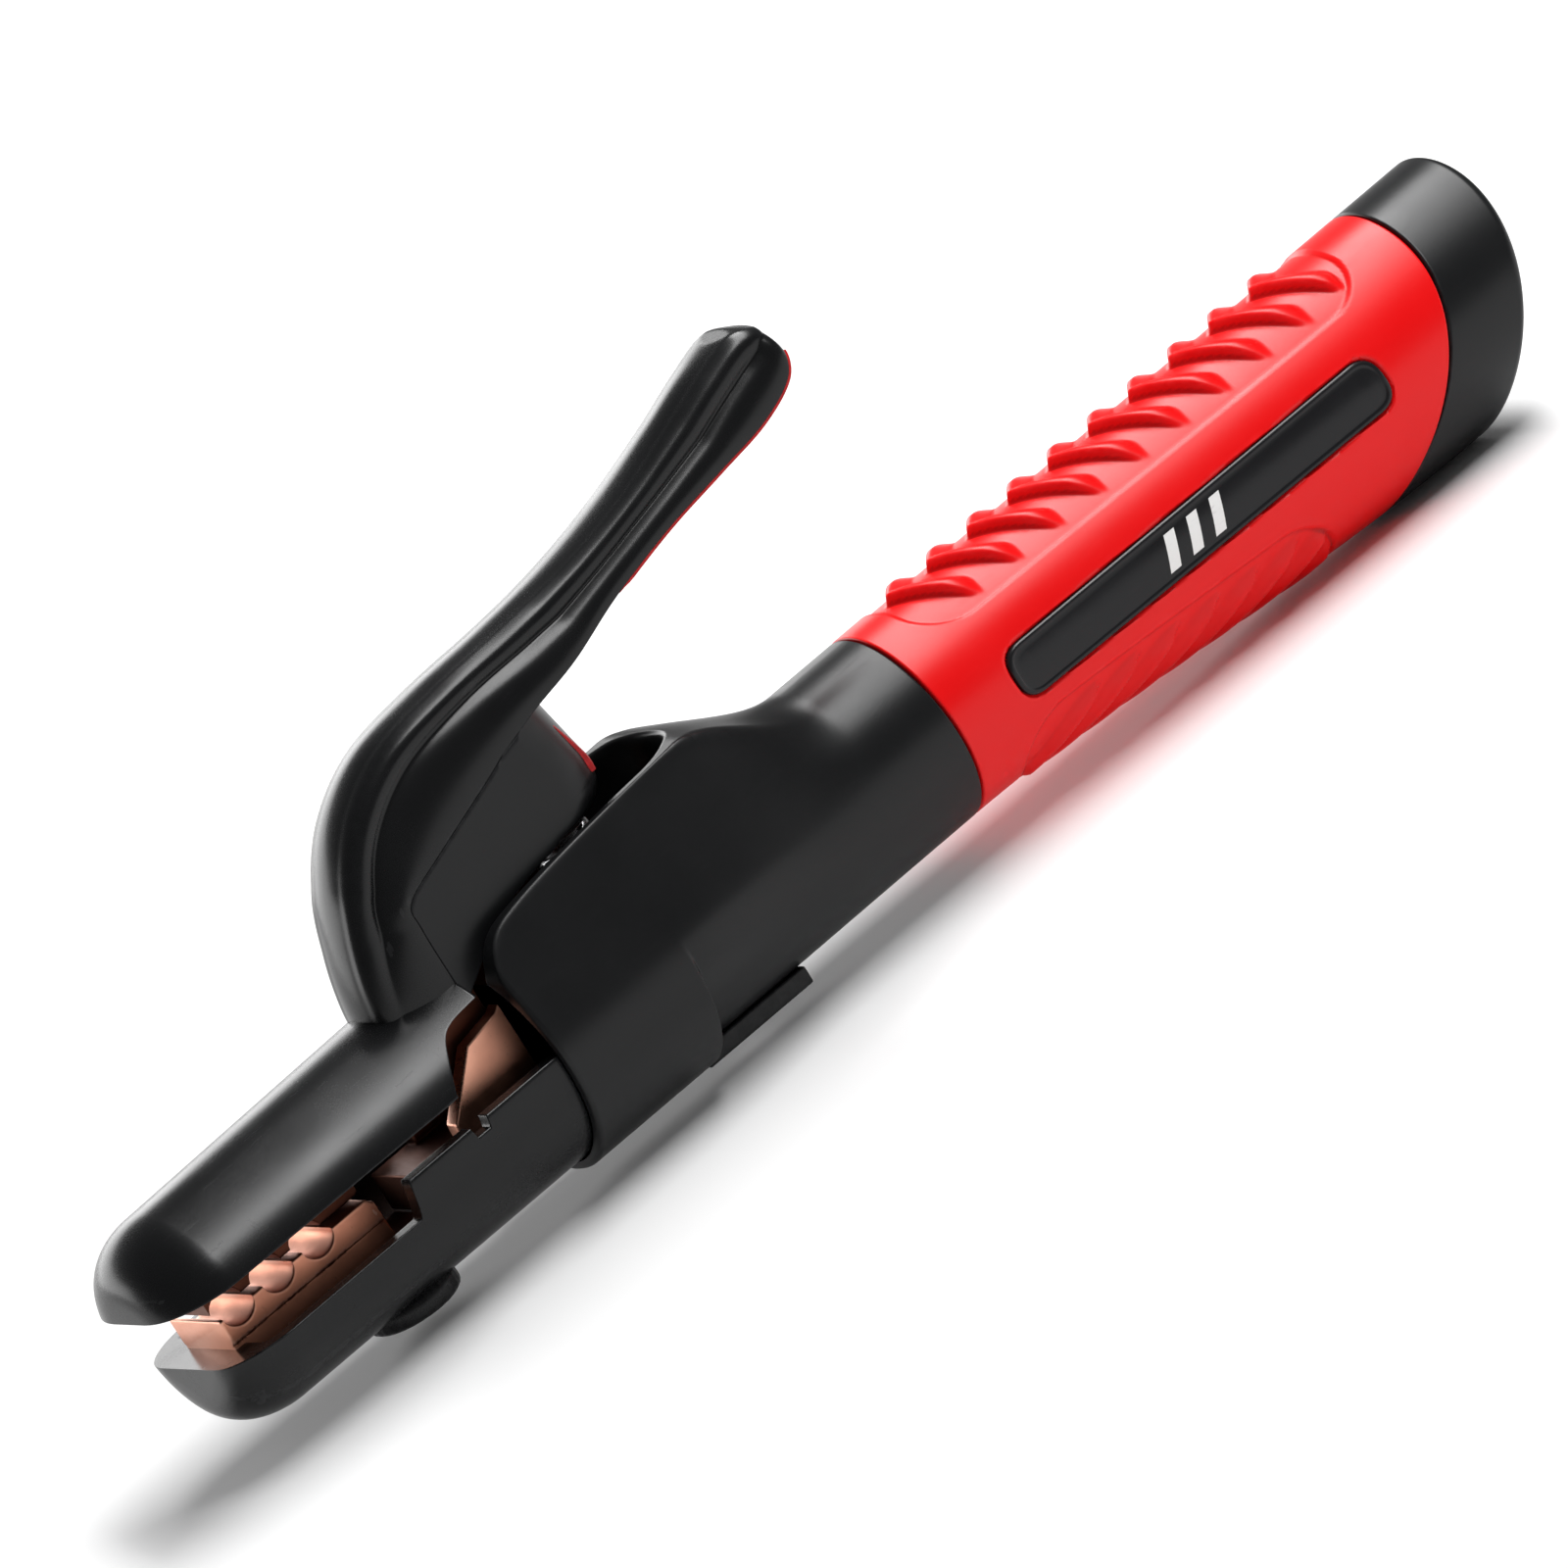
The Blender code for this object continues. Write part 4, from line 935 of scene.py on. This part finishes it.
def liner_surface():
    """Red liner under the lever: a thin sheet that follows its inner edge round to the tip."""
    _, inner, along, _, wide, _, shrink = lever_lines()
    chosen = (along[:, 0] > 0.62) & (along[:, 0] < 0.985)
    line, half = inner[chosen], (wide * shrink)[chosen, 0] - 0.12
    chord = np.gradient(line, axis=0)
    away = np.stack((chord[:, 1], -chord[:, 0]), axis=-1) / np.hypot(*chord.T)[:, None]

    def shape(u, v, w):
        place = u * (len(line) - 1)
        index = np.arange(len(line))
        x, z, side, away_x, away_z = (np.interp(place, index, values) for values in (*line.T, half, *away.T))
        lift = mix(-0.3, 0.32 * smooth(u / 0.05), w)
        return np.stack((x + lift * away_x, mix(-side, side, v), z + lift * away_z), axis=-1)

    return block(shape, (len(line), 9, 3))


def nose_depth(y):
    """How far the web's round nose has drawn back: its radius less the root of the rest."""
    return WEB_HALF - leg(WEB_HALF, y)


def strip_surface(side):
    """Red strip on one side of the web's nose: a thin block whose outer face follows the nose."""
    line = through([(-44.0, 36.9), (-42.4, 32.4), (-41.2, 28.0), (-41.2, 25.6)], 6)

    def shape(u, v, w):
        x, z = spots(line, u)
        y = STRIP_Y + mix(-0.14, 0.14, v)
        return np.stack((x - nose_depth(y) + mix(-0.8, 0.14, w), side * y, z), axis=-1)

    return block(shape, (20, 4, 3))


def web_surface():
    """Web of the lever: a block between its lower and upper edge lines, whose points behind its
    middle draw back along a round nose, and whose long edges are rounded."""
    low = through([(-77.4, 13.5), (-73.7, 15.8), (-70.0, 18.2), (-62.4, 20.6), (-54.3, 21.6), (-48.0, 22.05),
                   (-43.6, 22.6), (-41.2, 25.5)], 12)
    high = through([(-78.3, 15.0), (-78.1, 25.0), (-77.2, 28.8), (-70.0, 31.4), (-60.0, 34.5), (-52.5, 36.95),
                    (-48.0, 38.2), (-43.7, 39.3)], 12)

    def shape(u, v, w):
        y = WEB_HALF * -np.cos(math.pi * w)
        edge = fillet(WEB_HALF - np.abs(y), 0.3)
        lower, upper = spots(low, u), spots(high, u)
        tall = np.hypot(upper[0] - lower[0], upper[1] - lower[1])
        share = mix(edge / tall, 1 - 0.35 * edge / tall, v)
        x, z = mix(lower[0], upper[0], share), mix(lower[1], upper[1], share)
        nose = nose_depth(y) * smooth((x + 58.0) / 14.0)
        round_end = 1.6 * smooth((u - 0.93) / 0.07) * (1 - smooth(v / 0.25))
        drop = 0.28 * nose * smooth((z - 30) / 7)
        return np.stack((x - nose - round_end * 0.3, y, z - drop), axis=-1)

    return block(shape, (len(low), 26, 41))


def spring_surface():
    """Return spring: a helix of round wire whose pitch eases to closed coils at both ends."""
    turns, wire, radius = 7.0, 0.6, 3.9
    low, high = -0.3, 21.0
    share = np.linspace(0, 1, int(turns * 40) + 1)[:, None]
    turn = 2 * math.pi * turns * share
    spread = np.clip((share - 0.1) / 0.8, 0, 1)
    height = low + 4 * wire * share + (high - low - 4 * wire) * spread
    angle = around(14)[None]
    reach = radius + wire * np.cos(angle)
    grid = np.stack((SPRING_X + reach * np.cos(turn), reach * np.sin(turn), height + wire * np.sin(angle)),
                    axis=-1)
    return [sheet(grid, ring=True)]


def button_surface():
    """Button over the lower jaw's screw: a turned knob with a knurled rim and a dished face."""
    profile = [(-13.2, 0.0), (-13.2, 5.9), (-14.2, 6.2), (-15.0, 6.9), (-15.6, 7.15), (-16.9, 7.2),
               (-17.4, 7.05), (-17.75, 6.6), (-17.8, 6.1), (-17.6, 5.6), (-17.5, 3.0), (-17.5, 0.0)]
    grid = lathe(profile, (BUTTON_X, 0.0, 0.0), "Z", 96)
    knurl = np.array([0, 0, 0, 0.4, 1, 1, 0.6, 0.1, 0, 0, 0, 0])[:, None]
    scale = 1 - 0.018 * knurl * (0.5 + 0.5 * np.cos(32 * around(96)))
    grid[..., 0] = BUTTON_X + (grid[..., 0] - BUTTON_X) * scale
    grid[..., 1] *= scale
    return [sheet(grid, ring=True)]


# Settings, operators and panel

class HolderColours(bpy.types.PropertyGroup):
    """Colours of the mouldings and of the copper."""

    red: FloatVectorProperty(name="Grip red", description="Colour of the grip", subtype="COLOR", size=3,
                             min=0.0, max=1.0, default=(0.80, 0.002, 0.003))
    black: FloatVectorProperty(name="Black", description="Colour of the black mouldings", subtype="COLOR",
                               size=3, min=0.0, max=1.0, default=(0.0042, 0.0044, 0.0048))
    copper: FloatVectorProperty(name="Copper", description="Colour of clean copper", subtype="COLOR",
                                size=3, min=0.0, max=1.0, default=(0.62, 0.26, 0.165))


class HolderSizes(bpy.types.PropertyGroup):
    """Sizes of the visible detail."""

    rib_pitch: FloatProperty(name="Rib pitch", description="Distance between the upper ribs of the grip",
                             unit="LENGTH", default=7.7 * MM, min=5 * MM, max=12 * MM)
    rib_height: FloatProperty(name="Rib height", description="Height of the upper ribs above the grip",
                              unit="LENGTH", default=1.1 * MM, min=0.0, max=1.5 * MM)
    rim_rounding: FloatProperty(name="Rim rounding", description="Radius along the rim of the lever's throat",
                                unit="LENGTH", default=0.8 * MM, min=0.1 * MM, max=0.9 * MM)
    edge: FloatProperty(name="Edge rounding", description="Bevel on the edges of plates, pins and screws",
                        unit="LENGTH", default=0.2 * MM, min=0.05 * MM, max=0.4 * MM)


class StudioSettings(bpy.types.PropertyGroup):
    """Light and floor."""

    key: FloatProperty(name="Front light", description="Strength of the wide light above and in front",
                       unit="POWER", default=12.8, min=0.0)
    rim: FloatProperty(name="Rear light", description="Strength of the long low light behind",
                       unit="POWER", default=11.0, min=0.0)
    sky: FloatProperty(name="Surroundings", description="Brightness of the room", default=0.15, min=0.0)
    floor_size: FloatProperty(name="Floor size", description="Width of the pale floor", unit="LENGTH",
                              default=40.0, min=1.0)


class HOLDER_OT_grip(bpy.types.Operator):
    """Make the ribbed grip and the two label inserts in its sides"""

    bl_idname = "holder.grip"
    bl_label = "Grip and label inserts"

    def execute(self, context):
        piece("grip", "handle_body", "grip_red", grip_surface(), ("grip_sleeve",), 50.0)
        for name, side in SIDES:
            thing = piece(f"label_{name}", "handle_body", "gloss_black", label_surface(side),
                          (f"label_insert_{name}",))
            thing.data.materials[0] = finish("label")
        return {"FINISHED"}


class HOLDER_OT_rear_cap(bpy.types.Operator):
    """Make the rear cap with its cable inlet and screw hole"""

    bl_idname = "holder.rear_cap"
    bl_label = "Rear cap"

    def execute(self, context):
        cap = piece("tail_cap", "handle_body", "matte_black", rear_cap_surface(), ("rear_cap",))
        hole = lathe([(-25, 0), (-25, 3.3), (-20.15, 3.3), (-19.85, 3.0), (-17.4, 3.0), (-17.4, 0)],
                     (89.5, 0, 0), "Z", 40)
        drilled(cap, *sheet(hole, ring=True))
        return {"FINISHED"}


class HOLDER_OT_sleeve(bpy.types.Operator):
    """Make the front sleeve with the throat for the lever"""

    bl_idname = "holder.sleeve"
    bl_label = "Front sleeve"

    def execute(self, context):
        piece("sleeve", "handle_body", "matte_black", sleeve_surface(), ("front_sleeve",), 55.0)
        return {"FINISHED"}


class HOLDER_OT_shells(bpy.types.Operator):
    """Make the insulating shells over the two jaws and the button below"""

    bl_idname = "holder.shells"
    bl_label = "Jaw shells and button"

    def execute(self, context):
        piece("trough", "handle_body", "gloss_black", trough_surface(), ("lower_jaw_insulator",), 50.0)
        piece("cap", "lever_body", "gloss_black", cap_surface(), ("upper_jaw_insulator",), 50.0)
        piece("button", "handle_body", "gloss_black", button_surface(), ("lower_jaw_button",))
        return {"FINISHED"}


class HOLDER_OT_jaws(bpy.types.Operator):
    """Make the two toothed copper jaws"""

    bl_idname = "holder.jaws"
    bl_label = "Copper jaws"

    def execute(self, context):
        piece("fixed_jaw", "handle_body", "copper", lower_jaw_surface(), ("lower_jaw_contact",), 32.0)
        jaw = piece("moving_jaw", "lever_body", "copper", upper_jaw_surface(), ("upper_jaw_contact",), 32.0)
        # The moving jaw gets copper with painted shade all over.
        jaw.data.materials[0] = finish("copper_shaded_all")
        return {"FINISHED"}


class HOLDER_OT_lever(bpy.types.Operator):
    """Make the thumb lever and the web under it"""

    bl_idname = "holder.lever"
    bl_label = "Lever and web"

    def execute(self, context):
        piece("lever", "lever_body", "gloss_black", lever_surface(), ("lever_cover",), 50.0)
        piece("web", "lever_body", "matte_black", web_surface(), ("lever_web",), 40.0)
        piece("liner", "lever_body", "liner_red", liner_surface(), ("lever_liner",))
        for name, side in SIDES:
            piece(f"strip_{name}", "lever_body", "liner_red", strip_surface(side), (f"web_liner_{name}",))
        return {"FINISHED"}


class HOLDER_OT_spring(bpy.types.Operator):
    """Make the return spring"""

    bl_idname = "holder.spring"
    bl_label = "Return spring"

    def execute(self, context):
        coil = piece("coil", None, "bright_steel", spring_surface(), ("return_spring",))
        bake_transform(coil)
        return {"FINISHED"}


class HOLDER_OT_conductors(bpy.types.Operator):
    """Round the edges of the copper bar with its ears, of the moving arm and of the fixings"""

    bl_idname = "holder.conductors"
    bl_label = "Conductors and fixings"

    # Copper pieces inside the shells get copper finishes with painted shade.
    SHADED_FINISHES = {"conductor_arm": "copper_shaded_low", "upper_arm": "copper_shaded_all"}
    ROUNDED = (
        ("conductor_arm", "handle_body", "copper", 1.6), ("upper_arm", "lever_body", "copper", 1.6),
        ("pivot_pin", "handle_body", "bright_steel", 1.5), ("pivot_washer_left", "handle_body", "nylon", 0.6),
        ("pivot_washer_right", "handle_body", "nylon", 0.6), ("pivot_bush", "lever_body", "brass", 1.0),
        ("spring_seat", "handle_body", "bright_steel", 0.6),
        ("spring_post", "lever_body", "bright_steel", 1.0),
        ("sleeve_lock_plate", "handle_body", "matte_black", 1.6),
        ("sleeve_lock_screw", "handle_body", "bright_steel", 1.0),
        ("handle_screw", "handle_body", "bright_steel", 1.0),
        ("lower_jaw_screw", "handle_body", "bright_steel", 1.0),
        ("upper_jaw_screw", "lever_body", "bright_steel", 1.0),
    )

    def execute(self, context):
        edge = context.scene.holder_sizes.edge / MM
        for node, body, slot, share in self.ROUNDED:
            thing = softened(node, body, slot, edge * share)
            if node in self.SHADED_FINISHES:
                thing.data.materials[0] = finish(self.SHADED_FINISHES[node])
        return {"FINISHED"}


class HOLDER_OT_cable_end(bpy.types.Operator):
    """Give the tube, socket, clamp plate and clamp screws inside the handle their metals"""

    bl_idname = "holder.cable_end"
    bl_label = "Cable end"

    KEPT = (("handle_tube", "fibre_tube"), ("cable_socket", "brass"), ("cable_clamp_plate", "bright_steel"),
            ("cable_clamp_screw_front", "bright_steel"), ("cable_clamp_screw_rear", "bright_steel"))

    def execute(self, context):
        for node, slot in self.KEPT:
            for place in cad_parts[node].material_slots:
                place.material = finish(slot)
        return {"FINISHED"}


class HOLDER_OT_studio(bpy.types.Operator):
    """Set the pale floor, the soft lights, the surroundings and the camera"""

    bl_idname = "holder.studio"
    bl_label = "Studio"

    def execute(self, context):
        scene, studio = context.scene, context.scene.holder_studio
        half = studio.floor_size / 2
        points, quads = sheet(np.array([[(x, y, 0.0) for x in (-half, half)] for y in (-half, half)]))
        mesh = bpy.data.meshes.new("floor")
        mesh.from_pydata(points.tolist(), [], quads.tolist())
        made = Finish("floor_paper", {"IOR": 1.4})
        cloud = made.noise(0.01, 3.0)
        fine = made.noise(1.2, 3.0)
        shade = made.tint(cloud * 0.3, (0.93, 0.93, 0.93), (0.90, 0.90, 0.905))
        mesh.materials.append(made.feed(Base_Color=shade, Roughness=0.72 + (fine - 0.5) * 0.1,
                                        Normal=made.bumps(fine, 0.04)))
        floor = bpy.data.objects.new("floor", mesh)
        scene.collection.objects.link(floor)

        world = bpy.data.worlds.new("surroundings")
        world.use_nodes = True
        sky = world.node_tree.nodes["Background"]
        sky.inputs["Color"].default_value = (1.0, 1.0, 1.0, 1.0)
        sky.inputs["Strength"].default_value = studio.sky
        scene.world = world
        scene.view_settings.view_transform = "Standard"

        middle = Vector(HOME) + Vector((-19.0, 0.0, 5.0)) * MM
        lights = (("front_light", (0.37, -0.05, 0.8), (0.25, 1.1, 0.0), 1.2, 0.21, studio.key),
                  ("rear_light", (-0.3, 1.1, 0.27), (1.0, 0.0, 0.0), 1.9, 0.5, studio.rim))
        for name, away, along, long, wide, power in lights:
            lamp = bpy.data.lights.new(name, "AREA")
            lamp.shape = "RECTANGLE"
            lamp.size, lamp.size_y, lamp.energy = long, wide, power
            holder = bpy.data.objects.new(name, lamp)
            out = Vector(away).normalized()
            side = (Vector(along) - out * out.dot(Vector(along))).normalized()
            turn = Matrix((side, out.cross(side), out)).transposed().to_4x4()
            holder.matrix_world = Matrix.Translation(middle + Vector(away)) @ turn
            scene.collection.objects.link(holder)

        right = Vector((0.706, -0.481, -0.521)).normalized()
        up = Vector((0.597, 0.0075, 0.802))
        up = (up - right * up.dot(right)).normalized()
        back = right.cross(up)
        lens = bpy.data.cameras.new("camera")
        lens.lens, lens.sensor_width = 900.0, SENSOR_WIDTH
        lens.clip_start, lens.clip_end = 0.1, 200.0
        camera = bpy.data.objects.new("camera", lens)
        turn = Matrix((right, up, back)).transposed().to_4x4()
        distance = VIEW_WIDTH * lens.lens / SENSOR_WIDTH
        camera.matrix_world = Matrix.Translation(middle + back * distance) @ turn
        scene.collection.objects.link(camera)
        scene.camera = camera
        return {"FINISHED"}


STEPS = (HOLDER_OT_grip, HOLDER_OT_rear_cap, HOLDER_OT_sleeve, HOLDER_OT_shells, HOLDER_OT_jaws,
         HOLDER_OT_lever, HOLDER_OT_spring, HOLDER_OT_conductors, HOLDER_OT_cable_end, HOLDER_OT_studio)
GROUPS = (("holder_colours", HolderColours), ("holder_sizes", HolderSizes), ("holder_studio", StudioSettings))


class HOLDER_PT_panel(bpy.types.Panel):
    """Sidebar panel with the settings and one button for each step"""

    bl_label = "Electrode holder"
    bl_idname = "HOLDER_PT_panel"
    bl_space_type = "VIEW_3D"
    bl_region_type = "UI"
    bl_category = "Holder"

    def draw(self, context):
        for name, kind in GROUPS:
            box = self.layout.box()
            for key in kind.__annotations__:
                box.prop(getattr(context.scene, name), key)
        for step in STEPS:
            self.layout.operator(step.bl_idname)


def register():
    """Register the settings, the operators and the panel."""
    for name, kind in GROUPS:
        bpy.utils.register_class(kind)
        setattr(bpy.types.Scene, name, PointerProperty(type=kind))
    for kind in (*STEPS, HOLDER_PT_panel):
        bpy.utils.register_class(kind)


def unregister():
    """Take everything that register added away again."""
    for kind in (HOLDER_PT_panel, *reversed(STEPS)):
        bpy.utils.unregister_class(kind)
    for name, kind in reversed(GROUPS):
        delattr(bpy.types.Scene, name)
        bpy.utils.unregister_class(kind)


def main():
    """Make every piece and the studio."""
    register()
    for step in STEPS:
        group, name = step.bl_idname.split(".")
        if getattr(getattr(bpy.ops, group), name)() != {"FINISHED"}:
            raise RuntimeError(f"{step.bl_label} did not finish")
    bpy.context.view_layer.update()


if __name__ == "__main__":
    main()
